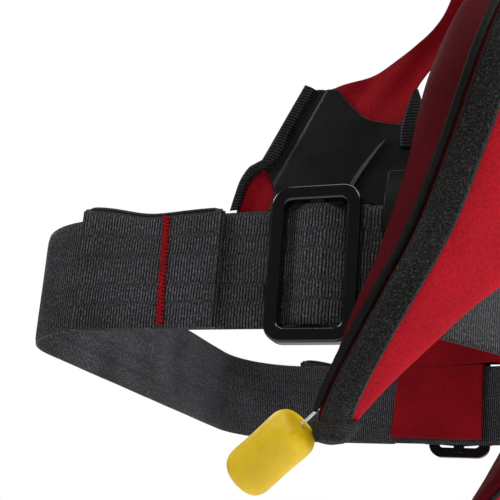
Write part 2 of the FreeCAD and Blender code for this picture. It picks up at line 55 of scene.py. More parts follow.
# ---------------------------------------------------------- the CAD model's dimensions, in mm
WEB_WIDTH = 50.0
WEB_THICK = 1.8
LOOP_THICK = 1.5
WAIST_SIDE_X = 150.0
WAIST_BACK_Y = 125.0
WAIST_CORNER_Y = -53.0
WAIST_FRONT_X = 62.0
WAIST_FRONT_Y = -112.3
BELT_FRONT_END = 42.0
BACK_RADIUS = 45.0
CORNER_RADIUS = 30.0
COVER_THICK = 1.6
LAYER_GAP = 0.3
ROUNDNESS = 2.8
TAPE_WIDTH = 13.0
TAPE_THICK = 1.6
TAPE_ANGLE = 146.0
PIPING_RADIUS = 1.6
SLIDER_LENGTH = 38.0
SLIDER_Y = -20.5
SLIDER_BAR = 6.0
HEM_START_Y = 22.0
HEM_LENGTH = 67.0
HEM_THICK = 3.4
BELT_JOIN_Y = 60.0

# the meshes' own sizes, in mm, and angles, in degrees
FRONT_PANEL_ANGLES = (3.0, 145.5)
BACK_PANEL_ANGLES = (146.5, 357.0)
LEFT_BELT_END_X = -52.0
BUCKLE_BAR_RADIUS = 3.0
HANGING_LOOP_RADIUS = 12.2
HANGING_LOOP_WIDTH = 20.0
RIB_PITCH = 1.3
RIB_HEIGHT = 0.22
WEB_STEP = 0.26
PUCKER_PITCH = 8.5
PUCKER_REACH = 7.0
HEM_ROLL_RADIUS = 1.55
BARTACK_STITCHES = 58
BARTACK_Y = 46.4
BARTACK_HALF_WIDTH = 1.7
THREAD_RADIUS = 0.46

# points along and across the meshes
COVER_ROWS = 170
TAPE_COLS = 22
EDGE_COLS = 11
BLADDER_ROWS = 260
WEB_COLS = 15

LOBE_LEVELS = [  # z, x, y, width, thickness, heading in degrees
    (-68.0, -152.9, -24.6, 8.0, 10.0, 34.0),
    (-60.0, -160.0, -25.0, 14.0, 17.0, 34.0),
    (-51.0, -165.6, -28.0, 20.0, 21.5, 34.0),
    (-42.0, -170.0, -31.5, 26.0, 26.0, 34.0),
    (-24.0, -175.5, -38.5, 37.0, 34.0, 34.0),
    (0.0, -172.5, -44.5, 58.0, 42.0, 34.0),
    (30.0, -171.0, -50.5, 82.0, 48.0, 34.0),
    (70.0, -176.5, -59.5, 104.0, 54.0, 32.0),
    (120.0, -167.0, -75.0, 114.0, 50.0, 26.0),
    (180.0, -152.0, -88.5, 108.0, 44.0, 18.0),
    (240.0, -135.0, -86.0, 98.0, 39.0, 12.0),
]
SHOULDER_LEVELS = [  # centre, half width, half thickness, across, normal
    ((-93, -98, 293), 46, 18, (0.98, -0.12, 0.12), (-0.13, -0.85, 0.50)),
    ((-98, -58, 334), 42, 17, (0.98, 0.00, 0.18), (-0.15, -0.50, 0.85)),
]
COLLAR_LEVELS = [
    ((-101, -8, 352), 39, 16, (0.97, 0.00, 0.24), (-0.24, 0.05, 0.97)),
    ((-84, 48, 351), 38, 16, (0.80, -0.50, 0.33), (-0.30, 0.30, 0.90)),
    ((-46, 84, 345), 38, 16, (0.45, -0.78, 0.43), (-0.15, 0.45, 0.88)),
    ((0, 97, 341), 38, 16, (0.00, -0.88, 0.47), (0.00, 0.47, 0.88)),
]


def add_object(name, data):
    made = bpy.data.objects.new(name, data)
    bpy.context.collection.objects.link(made)
    return made


# ---------------------------------------------------------------- camera
CAMERA_AZIMUTH = -68.0
CAMERA_ELEVATION = -17.3
CAMERA_ROLL = 4.6
CAMERA_PLACE = (-562.2, -157.3, -130.0)
CAMERA_LENS = 81.5


def make_camera():
    """A camera at the given place, looking along an azimuth and elevation."""
    a, e = math.radians(CAMERA_AZIMUTH), math.radians(CAMERA_ELEVATION)
    back = Vector((math.sin(a) * math.cos(e), -math.cos(a) * math.cos(e), math.sin(e)))
    right = Vector((math.cos(a), math.sin(a), 0.0))
    up = back.cross(right)
    turn = Matrix((right, up, back)).transposed().to_4x4()
    roll = Matrix.Rotation(math.radians(CAMERA_ROLL), 4, "Z")
    data = bpy.data.cameras.new("camera")
    data.lens = CAMERA_LENS
    data.sensor_width = 36.0
    data.clip_start = 0.01
    camera = add_object("camera", data)
    camera.matrix_world = Matrix.Translation(Vector(CAMERA_PLACE) * MM) @ turn @ roll
    bpy.context.scene.camera = camera


# ---------------------------------------------------------------- material nodes
class Shader:
    """A principled material whose colour and bump come from procedural nodes."""

    def __init__(self, name, colour, roughness, **sockets):
        self.material = bpy.data.materials.new(name)
        self.material.use_nodes = True
        self.tree = self.material.node_tree
        self.base = self.tree.nodes["Principled BSDF"]
        self.base.inputs["Base Color"].default_value = (*colour, 1)
        self.base.inputs["Roughness"].default_value = roughness
        for key, value in sockets.items():
            self.base.inputs[key.replace("_", " ")].default_value = value
        self.bumps = None

    def node(self, kind, **settings):
        """A node with its inputs, or else its own properties, set by name."""
        made = self.tree.nodes.new(kind)
        for key, value in settings.items():
            name = key.replace("_", " ")
            if name in made.inputs:
                made.inputs[name].default_value = value
            else:
                setattr(made, key, value)
        return made

    def link(self, a, b):
        self.tree.links.new(a, b)

    def place(self, source="Object", scale=(1, 1, 1)):
        """Coordinates in metres times a scale: Object, or the piece's own UV."""
        where = self.node("ShaderNodeTexCoord")
        stretch = self.node("ShaderNodeMapping", Scale=scale)
        self.link(where.outputs[source], stretch.inputs["Vector"])
        return stretch.outputs["Vector"]

    def noise(self, scale, detail=3.0, source="Object", stretch=(1, 1, 1), rough=0.55):
        made = self.node("ShaderNodeTexNoise", Scale=scale, Detail=detail, Roughness=rough)
        self.link(self.place(source, stretch), made.inputs["Vector"])
        return made.outputs["Fac"]

    def waves(self, pitch, direction, distortion, detail_scale):
        """Sine bands of the given pitch in metres, over the piece's own UV."""
        made = self.node("ShaderNodeTexWave", wave_type="BANDS", bands_direction=direction,
                         wave_profile="SIN", Scale=2 * math.pi / (20 * pitch),
                         Distortion=distortion, Detail_Scale=detail_scale)
        self.link(self.place("UV"), made.inputs["Vector"])
        return made.outputs["Fac"]

    def math(self, operation, a, b):
        made = self.node("ShaderNodeMath", operation=operation)
        for socket, value in zip(made.inputs, (a, b)):
            if isinstance(value, (int, float)):
                socket.default_value = value
            else:
                self.link(value, socket)
        return made.outputs[0]

    def ramp(self, value, low, high, a=0.3, b=0.7):
        """A colour that runs from low to high as the value runs from a to b."""
        made = self.node("ShaderNodeValToRGB")
        for element, at, colour in zip(made.color_ramp.elements, (a, b), (low, high)):
            element.position = at
            element.color = (*colour, 1)
        self.link(value, made.inputs["Fac"])
        return made.outputs["Color"]

    def blend(self, kind, a, b, share=1.0):
        """Two colours mixed by a share that is a number or comes from a node."""
        made = self.node("ShaderNodeMix", data_type="RGBA", blend_type=kind)
        if isinstance(share, float):
            made.inputs["Factor"].default_value = share
        else:
            self.link(share, made.inputs["Factor"])
        self.link(a, made.inputs[6])
        self.link(b, made.inputs[7])
        return made.outputs[2]

    def paint(self, colour):
        self.link(colour, self.base.inputs["Base Color"])

    def rough(self, value, low, high):
        made = self.node("ShaderNodeMapRange", To_Min=low, To_Max=high)
        self.link(value, made.inputs["Value"])
        self.link(made.outputs[0], self.base.inputs["Roughness"])

    def bump(self, height, distance):
        """Adds a height in metres to the bumps that the surface has so far."""
        made = self.node("ShaderNodeBump", Distance=distance, Strength=1.0)
        self.link(height, made.inputs["Height"])
        if self.bumps is not None:
            self.link(self.bumps, made.inputs["Normal"])
        self.bumps = made.outputs["Normal"]
        self.link(self.bumps, self.base.inputs["Normal"])


def tone(colour, factor):
    return tuple(min(1.0, c * factor) for c in colour)


def woven(name, colour, pitch=0.0007, grain=0.25, roughness=0.72, sheen=0.25, patch=0.2,
          bump=0.00012):
    """Plain weave cloth: two crossed sets of threads, fuzz and broad colour drift."""
    s = Shader(name, colour, roughness, Sheen_Weight=sheen, Sheen_Roughness=0.4)
    s.base.inputs["Sheen Tint"].default_value = (*tone(colour, 2.2), 1)
    s.base.inputs["Specular IOR Level"].default_value = 0.08
    warp = s.waves(pitch, "X", 0.6, 2.0)
    weft = s.waves(pitch, "Y", 0.6, 2.0)
    threads = s.math("MULTIPLY", warp, weft)
    speck = s.noise(900.0, 2.0, "Object", rough=0.7)
    drift = s.noise(28.0, 3.0, "Object")
    dark = s.ramp(speck, tone(colour, 1 - grain), tone(colour, 1 + grain), 0.35, 0.68)
    wide = s.ramp(drift, (1 - patch,) * 3, (1, 1, 1), 0.3, 0.7)
    weave = s.ramp(threads, (0.80, 0.80, 0.80), (1.0, 1.0, 1.0), 0.0, 0.5)
    s.paint(s.blend("MULTIPLY", s.blend("MULTIPLY", dark, wide), weave))
    s.bump(threads, bump)
    s.bump(speck, bump * 0.8)
    return s.material


def ribbed(name, colour, fleck, roughness=0.6, sheen=0.03, groove_shade=0.93):
    """Webbing: painted highlight on the rib crests and painted shade in the grooves, both from the
    mesh's rib height, with light flecks.
    """
    s = Shader(name, colour, roughness, Sheen_Weight=sheen, Sheen_Roughness=0.35)
    s.base.inputs["Specular IOR Level"].default_value = 0.12
    rib = s.node("ShaderNodeAttribute", attribute_name="rib")
    # painted shade and painted highlight: grooves darken towards near black and crests brighten to
    # five times the colour, by rib height
    crest = s.ramp(rib.outputs["Fac"], tone(colour, 1 - groove_shade), tone(colour, 5.0), 0.60, 1.0)
    thread = s.noise(1.0, 2.0, "UV", (800.0, 1400.0, 1.0), 0.7)
    flecks = s.ramp(thread, tone(colour, 0.15), fleck, 0.46, 0.62)
    drift = s.noise(22.0, 3.0, "Object")
    wide = s.ramp(drift, (0.62, 0.61, 0.62), (1.25, 1.25, 1.3), 0.32, 0.68)
    share = s.math("MULTIPLY", s.math("POWER", rib.outputs["Fac"], 2.0), 0.5)
    s.paint(s.blend("MULTIPLY", s.blend("MIX", crest, flecks, share), wide))
    s.bump(thread, 0.00008)
    return s.material


def knitted(name, colour, fleck, pitch=0.0008, roughness=0.8):
    """Textured tape: dense raised stitches in offset rows with pale flecks."""
    s = Shader(name, colour, roughness, Sheen_Weight=0.1, Sheen_Roughness=0.5)
    s.base.inputs["Specular IOR Level"].default_value = 0.1
    across = s.waves(pitch, "X", 2.5, 4.0)
    length = s.waves(pitch, "Y", 2.5, 4.0)
    dots = s.math("MULTIPLY", across, length)
    speck = s.noise(1300.0, 2.0, "Object", rough=0.8)
    paint = s.ramp(dots, tone(colour, 0.35), tone(colour, 1.5), 0.05, 0.8)
    flecks = s.ramp(speck, (0, 0, 0), fleck, 0.50, 0.72)
    s.paint(s.blend("ADD", paint, flecks, 0.7))
    s.bump(dots, 0.00022)
    s.bump(speck, 0.00025)
    return s.material


def coated(name, colour, roughness=0.32, grain=260.0):
    """Coated cloth: a fine pebble under a semi-gloss skin, with wear."""
    s = Shader(name, colour, roughness, Coat_Weight=0.1, Coat_Roughness=0.3)
    s.base.inputs["Specular IOR Level"].default_value = 0.2
    pebble = s.noise(grain, 3.0)
    cloud = s.noise(35.0, 3.0)
    s.paint(s.ramp(cloud, tone(colour, 0.7), tone(colour, 1.5), 0.35, 0.7))
    s.rough(cloud, roughness - 0.06, roughness + 0.14)
    s.bump(pebble, 0.0002)
    return s.material


def moulded(name, colour, roughness=0.3, coat=0.0, mottling=0.15, grain=0.00006, speckle=None):
    """Moulded plastic: fine surface grain, slight mottling and scuffs."""
    s = Shader(name, colour, roughness, Coat_Weight=coat, Coat_Roughness=0.15)
    cloud = s.noise(60.0, 3.0)
    scuff = s.noise(1.0, 4.0, "Object", (90.0, 400.0, 120.0), 0.7)
    low, high = tone(colour, 1 - mottling), tone(colour, 1 + mottling)
    paint = s.ramp(cloud, low, high, 0.35, 0.68)
    if speckle is not None:
        spots = s.ramp(s.noise(420.0, 2.0), (1, 1, 1), speckle, 0.66, 0.78)
        paint = s.blend("MULTIPLY", paint, spots)
    s.paint(paint)
    s.rough(scuff, max(0.04, roughness - 0.08), roughness + 0.12)
    s.bump(s.noise(700.0, 2.0), grain)
    return s.material


def metal(name, colour, roughness=0.28, brushed=True):
    """Metal with fine drawing lines and small scratches."""
    s = Shader(name, colour, roughness, Metallic=1.0)
    lines = s.noise(1.0, 3.0, "Object", (300.0, 300.0, 2600.0) if brushed else (500.0,) * 3, 0.6)
    s.paint(s.ramp(lines, tone(colour, 0.8), tone(colour, 1.1), 0.3, 0.7))
    s.rough(lines, roughness - 0.08, roughness + 0.15)
    s.bump(lines, 0.00003)
    return s.material


RED = (0.56, 0.008, 0.020)
# the back panel's maroon is partly a darker back fabric and partly painted shade, for the panel's
# side that faces away from the light
SHADED_MAROON = (0.11, 0.002, 0.006)
CHARCOAL = (0.017, 0.0165, 0.018)

mat = {
    "front_red": woven("front_red_cloth", RED, 0.0006, 0.22, 0.72, 0.12),
    "back_red": woven("back_red_shaded_cloth", SHADED_MAROON, 0.0006, 0.22, 0.75, 0.06, 0.35),
    "wing_red": woven("wing_red_cloth", (0.36, 0.003, 0.010), 0.0006, 0.16, 0.6, 0.05, 0.4),
    "collar_inner": woven("collar_inner_cloth", (0.035, 0.035, 0.038), 0.0009, 0.3, 0.8, 0.4),
    "tape": knitted("closure_tape_knit", (0.008, 0.0075, 0.007), (0.10, 0.095, 0.09)),
    "piping": woven("piping_cloth", (0.010, 0.010, 0.0105), 0.0007, 0.35, 0.5, 0.04, 0.3),
    "patch": coated("patch_coated", (0.004, 0.0036, 0.0036), 0.4),
    "binding": ribbed("binding_rib", (0.010, 0.010, 0.011), (0.05, 0.05, 0.055), 0.4, 0.05),
    "webbing": ribbed("webbing_rib", CHARCOAL, (0.24, 0.235, 0.25)),
    "strap_grey": ribbed("strap_rib", (0.055, 0.058, 0.05), (0.16, 0.165, 0.15)),
    "red_thread": woven("red_thread", (0.44, 0.008, 0.014), 0.0005, 0.35, 0.6, 0.05),
    "black_thread": woven("black_thread", (0.012, 0.012, 0.013), 0.0005, 0.3, 0.5),
    "slider": moulded("slider_gloss", (0.0035, 0.0033, 0.0035), 0.16, 0.4, 0.1),
    "buckle": moulded("buckle_plastic", (0.012, 0.012, 0.013), 0.3, 0.2),
    "yellow": moulded("toggle_yellow", (0.92, 0.60, 0.001), 0.5, 0.0, 0.12, 0.00012,
                      (0.86, 0.76, 0.45)),
    "wire": metal("wire_steel", (0.80, 0.79, 0.76), 0.3),
    "cylinder": metal("cylinder_steel", (0.62, 0.63, 0.65), 0.3),
    "brass": metal("nut_brass", (0.78, 0.60, 0.28), 0.3),
    "inflator": moulded("inflator_plastic", (0.02, 0.02, 0.022), 0.38),
    "green": moulded("status_green", (0.02, 0.42, 0.07), 0.35),
    "bladder": coated("bladder_coated", (0.83, 0.72, 0.03), 0.4, 320.0),
    "rubber": moulded("tube_rubber", (0.014, 0.014, 0.014), 0.55, 0.0, 0.2, 0.0001),
    "valve": moulded("valve_plastic", (0.10, 0.10, 0.11), 0.4),
    "orange": moulded("whistle_orange", (0.80, 0.20, 0.015), 0.35, 0.1),
    "lamp": moulded("lamp_clear", (0.62, 0.66, 0.66), 0.15, 0.5, 0.05),
}


# ---------------------------------------------------------------- meshes
def add_mesh(name, verts, faces, material, uv=None, rib=None, body="jacket"):
    """A smooth mesh piece from points in mm that rides on a CAD body."""
    mesh = bpy.data.meshes.new(name)
    mesh.from_pydata((np.asarray(verts, float) * MM).tolist(), [], [list(f) for f in faces])
    mesh.polygons.foreach_set("use_smooth", [True] * len(mesh.polygons))
    if uv is not None:
        layer = mesh.uv_layers.new(name="UVMap")
        loops = np.zeros(len(mesh.loops), dtype=np.int32)
        mesh.loops.foreach_get("vertex_index", loops)
        layer.data.foreach_set("uv", (np.asarray(uv, float)[loops] * MM).ravel())
    if rib is not None:
        # the rib values drive the ribbed shaders' painted crest highlight and painted groove shade
        shade = mesh.attributes.new("rib", "FLOAT", "POINT")
        shade.data.foreach_set("value", np.asarray(rib, np.float32))
    mesh.materials.append(mat[material])
    mesh.update()
    piece = add_object(name, mesh)
    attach(piece, body)
    return piece


def grid_faces(n, m, start=0, flip=False, wrap=False):
    """Quads over an n by m grid of vertices; wrap closes the second direction."""
    i, j = np.meshgrid(np.arange(n - 1), np.arange(m if wrap else m - 1), indexing="ij")
    k = (j + 1) % m
    quads = np.stack([i * m + j, (i + 1) * m + j, (i + 1) * m + k, i * m + k], -1)
    quads = quads.reshape(-1, 4) + start
    return quads[:, ::-1].tolist() if flip else quads.tolist()


def closed_sheet(outer, inner):
    """Vertices and faces of a sheet between two matching grids, with its rim."""
    n, m = outer.shape[:2]
    verts = np.concatenate([outer.reshape(-1, 3), inner.reshape(-1, 3)])
    half = n * m
    faces = grid_faces(n, m) + grid_faces(n, m, half, True)
    loop = [(i, 0) for i in range(n)] + [(n - 1, j) for j in range(1, m)]
    loop += [(i, m - 1) for i in range(n - 2, -1, -1)] + [(0, j) for j in range(m - 2, 0, -1)]
    ids = [i * m + j for i, j in loop]
    for a, b in zip(ids, ids[1:] + ids[:1]):
        faces.append([a, a + half, b + half, b])
    return verts, faces


def tube_faces(n, m, start=0):
    """Quads round n rings of m vertices, with a face over each end."""
    faces = grid_faces(n, m, start, False, True)
    faces.append([start + k for k in range(m)])
    faces.append([start + (n - 1) * m + k for k in reversed(range(m))])
    return faces


def orient(verts, faces):
    """Turn the faces of a closed mesh so that its volume is positive."""
    centre = verts.mean(axis=0)
    triangles = [(f[0], f[i], f[i + 1]) for f in faces for i in range(1, len(f) - 1)]
    a, b, c = (verts[np.array(triangles)[:, i]] - centre for i in range(3))
    volume = float(np.sum(a * np.cross(b, c)))
    return [list(f)[::-1] for f in faces] if volume < 0 else faces


def add_sheet(name, outer, inner, material, uv=None, rib=None, body="jacket",
              mirror=False):
    """A closed sheet between two matching grids; returns the piece and its outer grid."""
    if mirror:
        outer, inner = mirror_x(outer), mirror_x(inner)
    verts, faces = closed_sheet(outer, inner)
    uv = skin_uv(outer) if uv is None else uv
    ribs = None if rib is None else np.concatenate([rib.ravel()] * 2)
    piece = add_mesh(name, verts, orient(verts, faces), material,
                     np.concatenate([uv, uv]), ribs, body)
    return piece, outer


def tube_uv(n, around, length, radius):
    s, a = np.meshgrid(np.linspace(0, length, n), np.arange(around), indexing="ij")
    return np.stack([a * 2 * math.pi * radius / around, s], -1).reshape(-1, 2)


def add_tube(name, centres, radius, around, material, uv_size, rib=None, mirror=False):
    """A round tube along points; uv_size is the length and radius that its pattern has."""
    if mirror:
        centres = mirror_x(centres)
    n = len(centres)
    tangent = np.gradient(centres, axis=0)
    tangent /= np.linalg.norm(tangent, axis=1, keepdims=True)
    up = np.array([0.0, 0.0, 1.0])
    if abs(tangent[0].dot(up)) > 0.9:
        up = np.array([0.0, 1.0, 0.0])
    verts = []
    side = np.cross(tangent[0], up)
    for i, r in enumerate(np.broadcast_to(radius, n)):
        side = side - tangent[i] * side.dot(tangent[i])
        side /= np.linalg.norm(side)
        other = np.cross(tangent[i], side)
        for k in range(around):
            a = 2 * math.pi * k / around
            verts.append(centres[i] + (side * math.cos(a) + other * math.sin(a)) * r)
    verts = np.array(verts)
    return add_mesh(name, verts, orient(verts, tube_faces(n, around)), material,
                    tube_uv(n, around, *uv_size), rib)


def arc_of(points):
    """Arc length at each point of a line."""
    steps = np.linalg.norm(np.diff(points, axis=0), axis=1)
    return np.concatenate([[0], np.cumsum(steps)])


def crown(share, power):
    """1 across a strip, rounding off to 0 at its edges, where share is -1 and 1."""
    return np.sqrt(np.clip(1 - np.abs(share) ** power, 0, 1))


def hermite(knots, values, t):
    """A smooth curve through values at uneven knots, for an array of parameters."""
    knots = np.asarray(knots, float)
    values = np.asarray(values, float)
    gaps = np.diff(knots)
    slope = np.diff(values, axis=0) / gaps[:, None]
    tangent = np.empty_like(values)
    share = (gaps[:-1] / (gaps[:-1] + gaps[1:]))[:, None]
    tangent[1:-1] = slope[:-1] * (1 - share) + slope[1:] * share
    tangent[0] = slope[0]
    tangent[-1] = slope[-1]
    i = np.clip(np.searchsorted(knots, t, side="right") - 1, 0, len(gaps) - 1)
    u = ((t - knots[i]) / gaps[i])[:, None]
    g = gaps[i][:, None]
    a = (1 + 2 * u) * (1 - u) ** 2 * values[i] + u * (1 - u) ** 2 * g * tangent[i]
    b = u * u * (3 - 2 * u) * values[i + 1] + u * u * (u - 1) * g * tangent[i + 1]
    return a + b


def wobble(points, scale, seed=0.0):
    """Smooth noise from -1 to 1 at each point, in mm."""
    flat = points.reshape(-1, 3)
    out = [noise.noise(Vector(p) * scale + Vector((seed, seed * 1.7, -seed))) for p in flat]
    return np.array(out).reshape(points.shape[:-1])


def mirror_x(points):
    return points * np.array([-1.0, 1.0, 1.0])


# ---------------------------------------------------------------- lobe sections
class Section:
    """A rounded cross-section of a lobe or the collar; its skin is given by an angle."""

    def __init__(self, centre, across, normal, half_width, half_thick):
        self.centre = np.array(centre, float)
        self.across = across
        self.normal = normal
        self.half_width = half_width
        self.half_thick = half_thick

    def points(self, degrees, offset=0.0):
        a = np.radians(np.asarray(degrees, float))
        c, s = np.cos(a), np.sin(a)
        p = np.sign(c) * np.abs(c) ** (2 / ROUNDNESS) * (self.half_width + offset)
        q = np.sign(s) * np.abs(s) ** (2 / ROUNDNESS) * (self.half_thick + offset)
        return self.centre + np.outer(p, self.across) + np.outer(q, self.normal)

    def angle_at_distance(self, degrees, distance):
        """The angle that lies a distance in mm along the skin from another angle."""
        fine = degrees + math.copysign(1.0, distance) * np.linspace(0, 90, 721)
        return float(np.interp(abs(distance), arc_of(self.points(fine)), fine))

    def mirrored(self):
        return Section(mirror_x(self.centre), mirror_x(self.across), mirror_x(self.normal),
                       self.half_width, self.half_thick)


def level_section(z, x, y, width, thick, heading):
    turn = math.radians(heading)
    across = np.array([math.cos(turn), -math.sin(turn), 0])
    normal = np.array([-math.sin(turn), -math.cos(turn), 0])
    centre = np.array([x, y, z]) + across * width / 2 + normal * thick / 2
    return Section(centre, across, normal, width / 2, thick / 2)


def free_section(centre, half_width, half_thick, across, normal):
    w = np.array(across, float)
    w /= np.linalg.norm(w)
    n = np.array(normal, float)
    n -= w * n.dot(w)
    n /= np.linalg.norm(n)
    return Section(centre, w, n, half_width, half_thick)


LOBE = [level_section(*level) for level in LOBE_LEVELS]
SHOULDER = [free_section(*level) for level in SHOULDER_LEVELS]
COLLAR = [free_section(*level) for level in COLLAR_LEVELS]
COVERED = LOBE + SHOULDER


def knots_of(sections):
    return arc_of(np.array([s.centre for s in sections]))


def surface(sections, rows, cols, angles, offset):
    """A grid of points lofted through sections; angles(section, share) gives the skin angle."""
    knots = knots_of(sections)
    share = np.linspace(0, 1, cols)
    table = np.array([s.points(angles(s, share), offset) for s in sections])
    along = np.linspace(0, knots[-1], rows)
    flat = hermite(knots, table.reshape(len(sections), -1), along)
    return flat.reshape(rows, cols, 3), along


def lengths(grid, axis):
    """Arc length along one direction of a grid."""
    steps = np.linalg.norm(np.diff(grid, axis=axis), axis=2)
    run = np.cumsum(steps, axis=axis)
    pad = [(0, 0), (0, 0)]
    pad[axis] = (1, 0)
    return np.pad(run, pad)


def skin_uv(grid):
    """Pattern coordinates in mm: across from the middle, and along."""
    rows = lengths(grid, 1)
    rows = rows - rows.mean(axis=1, keepdims=True)
    cols = np.broadcast_to(lengths(grid, 0).mean(axis=1, keepdims=True), rows.shape)
    return np.stack([rows, cols], -1).reshape(-1, 2)


def normals_of(grid):
    du = np.gradient(grid, axis=0)
    dv = np.gradient(grid, axis=1)
    n = np.cross(du, dv)
    return n / np.maximum(np.linalg.norm(n, axis=2, keepdims=True), 1e-9)


# ---------------------------------------------------------------- lobe and collar covers
def smoothstep(x, a, b):
    t = np.clip((x - a) / (b - a), 0, 1)
    return t * t * (3 - 2 * t)


def cover_relief(grid, along, seed):
    """Height in mm of the soft folds and of the puckers that start at the seams."""
    width = lengths(grid, 1)
    total = width[:, -1:]
    room = np.clip(total / 60.0, 0.1, 1.0)
    broad = wobble(grid * np.array([1, 1, 0.45]), 0.030, seed)
    fine = wobble(grid * np.array([1, 1, 0.35]), 0.085, seed + 9)
    s = along[:, None] + 3.0 * wobble(grid, 0.05, seed + 4)
    strength = 0.6 + 0.4 * np.sin(along[:, None] * 0.21 + seed)
    pucker = np.zeros(width.shape)
    for reach in (width, total - width):
        pucker += np.exp(-reach / PUCKER_REACH) * np.sin(2 * math.pi * s / PUCKER_PITCH) * strength
    calm = smoothstep(np.minimum(width, total - width), 0.0, 9.0)
    return (broad * 1.5 + fine * 0.55) * calm * room - np.abs(pucker) * 0.5 * room - 0.15


def add_cover(name, node, sections, angles, material, rows, cols, seed, mirror=False):
    """A soft panel on the skin between two angles; returns its outer grid."""
    first, last = angles
    grid, along = surface(
        sections, rows, cols, lambda s, share: first + (last - first) * share, 0.0)
    n = normals_of(grid)
    n *= np.sign(np.sum(n * (grid - grid.mean(axis=1, keepdims=True)), axis=2).mean() or 1)
    outer = grid + n * cover_relief(grid, along, seed)[..., None]
    piece, outer = add_sheet(name, outer, outer - n * COVER_THICK, material,
                             mirror=mirror)
    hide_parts(node)
    return outer


def add_tape(name, sections, rows, mirror):
    """Closure tape on the skin, with a sewn groove beside each edge."""
    def angle(s, share):
        a = s.angle_at_distance(TAPE_ANGLE, -TAPE_WIDTH / 2)
        b = s.angle_at_distance(TAPE_ANGLE, TAPE_WIDTH / 2)
        return a + (b - a) * share

    grid, _ = surface(sections, rows, TAPE_COLS, angle, LAYER_GAP)
    top, _ = surface(sections, rows, TAPE_COLS, angle, LAYER_GAP + TAPE_THICK)
    share = np.linspace(-1, 1, TAPE_COLS)[None, :, None]
    lift = top - grid
    lift /= np.linalg.norm(lift, axis=2, keepdims=True)
    groove = 0.25 * np.exp(-((np.abs(share) - 0.86) / 0.07) ** 2)
    relief = wobble(grid, 0.12, 3.0)[..., None] * 0.16 - groove
    outer = grid + (top - grid) * (0.35 + 0.65 * crown(share, 6)) + lift * relief
    return add_sheet(name, outer, grid, "tape", mirror=mirror)


def stitch_row(name, path, normal, length, gap, radius, material):
    """Small raised stitches along a path of points, in mm."""
    run = arc_of(path)
    bulge = (0.25, 0.85, 1.0, 0.85, 0.25)
    verts, faces = [], []
    for k in range(int(run[-1] // (length + gap))):
        s0 = k * (length + gap) + gap / 2
        line = np.linspace(s0, s0 + length, len(bulge))
        pts = np.stack([np.interp(line, run, path[:, i]) for i in range(3)], 1)
        nrm = np.stack([np.interp(line, run, normal[:, i]) for i in range(3)], 1)
        nrm /= np.linalg.norm(nrm, axis=1, keepdims=True)
        tangent = pts[-1] - pts[0]
        tangent /= np.linalg.norm(tangent)
        faces += tube_faces(len(bulge), 6, len(verts))
        for p, n, b in zip(pts, nrm, bulge):
            side = np.cross(tangent, n)
            for turn in range(6):
                a = 2 * math.pi * turn / 6
                spot = side * math.cos(a) + n * (math.sin(a) + 0.2)
                verts.append(p + spot * radius * b)
    verts = np.array(verts)
    add_mesh(name, verts, orient(verts, faces), material, verts[:, :2])


def make_lobe(side):
    mirror = side == "left"
    outer = add_cover(side + "_front_cover_cloth", side + "_front_cover", COVERED,
                      FRONT_PANEL_ANGLES, "front_red", COVER_ROWS, 46, 2.0 if mirror else 5.0,
                      mirror)
    # the back panel's colour holds painted shade as well as the darker fabric
    add_cover(side + "_back_cover_cloth", side + "_back_cover", COVERED, BACK_PANEL_ANGLES,
              "back_red", COVER_ROWS, 54, 7.0 if mirror else 11.0, mirror)
    tape, top = add_tape(side + "_closure_tape_knit", COVERED[:-1], 320, mirror)
    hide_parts(side + "_closure_tape")
    add_tape(side + "_shoulder_tape_knit", COVERED[-2:], 60, mirror)
    # the rolled piping follows the tape's rear edge
    sections = COVERED[1:-1]
    line = []
    for s in sections:
        a = s.angle_at_distance(TAPE_ANGLE, TAPE_WIDTH / 2 + PIPING_RADIUS + 0.6)
        line.append(s.points([a], LAYER_GAP + PIPING_RADIUS + 0.4)[0])
    knots = knots_of(sections)
    along = np.linspace(0, knots[-1], 330)
    radius = PIPING_RADIUS * (1 + 0.05 * np.sin(along * 0.9)) * np.clip(along / 3.0, 0.35, 1) ** 0.5
    piping = add_tube(side + "_closure_piping_roll", hermite(knots, line, along), radius, 14,
                      "piping", (knots[-1], PIPING_RADIUS), mirror=mirror)
    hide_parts(side + "_closure_piping")
    make_tip(side, mirror)
    add_inner_edge(side + "_inner_edge_tape", COVERED[1:], 240, mirror)
    # stitch rows along both edges of the tape
    n = normals_of(top)
    # halfway along, the tape's normal has to look away from the front panel
    if n[160, 11].dot(top[160, 11] - outer[85, 22]) < 0:
        n = -n
    for k, col in enumerate((2, 19)):
        stitch_row("%s_tape_stitches_%d" % (side, k), top[:, col] + n[:, col] * 0.05, n[:, col],
                   2.2, 0.9, 0.22, "black_thread")


def add_inner_edge(name, sections, rows, mirror=False):
    """Black tape sewn over the seam on a cover's inner edge, where its two panels meet."""
    def angle(s, share):
        return -5.5 + 11.0 * share

    grid, _ = surface(sections, rows, EDGE_COLS, angle, 0.1)
    top, _ = surface(sections, rows, EDGE_COLS, angle, 1.3)
    share = np.linspace(-1, 1, EDGE_COLS)[None, :, None]
    outer = grid + (top - grid) * (0.3 + 0.7 * crown(share, 6))
    inner = grid - (top - grid) * 0.5
    add_sheet(name, outer, inner, "tape", mirror=mirror)


TIP_RINGS = [  # share from the lowest level to the next, growth and drop in mm
    (0.62, 1.6, 0.0), (0.58, 2.1, 0.0), (0.4, 2.3, 0.0), (0.15, 2.2, 0.0), (0.0, 1.9, 0.0),
    (0.0, 1.2, 1.2), (0.0, 0.0, 2.0), (0.0, -2.0, 2.5), (0.0, -3.6, 2.6),
]


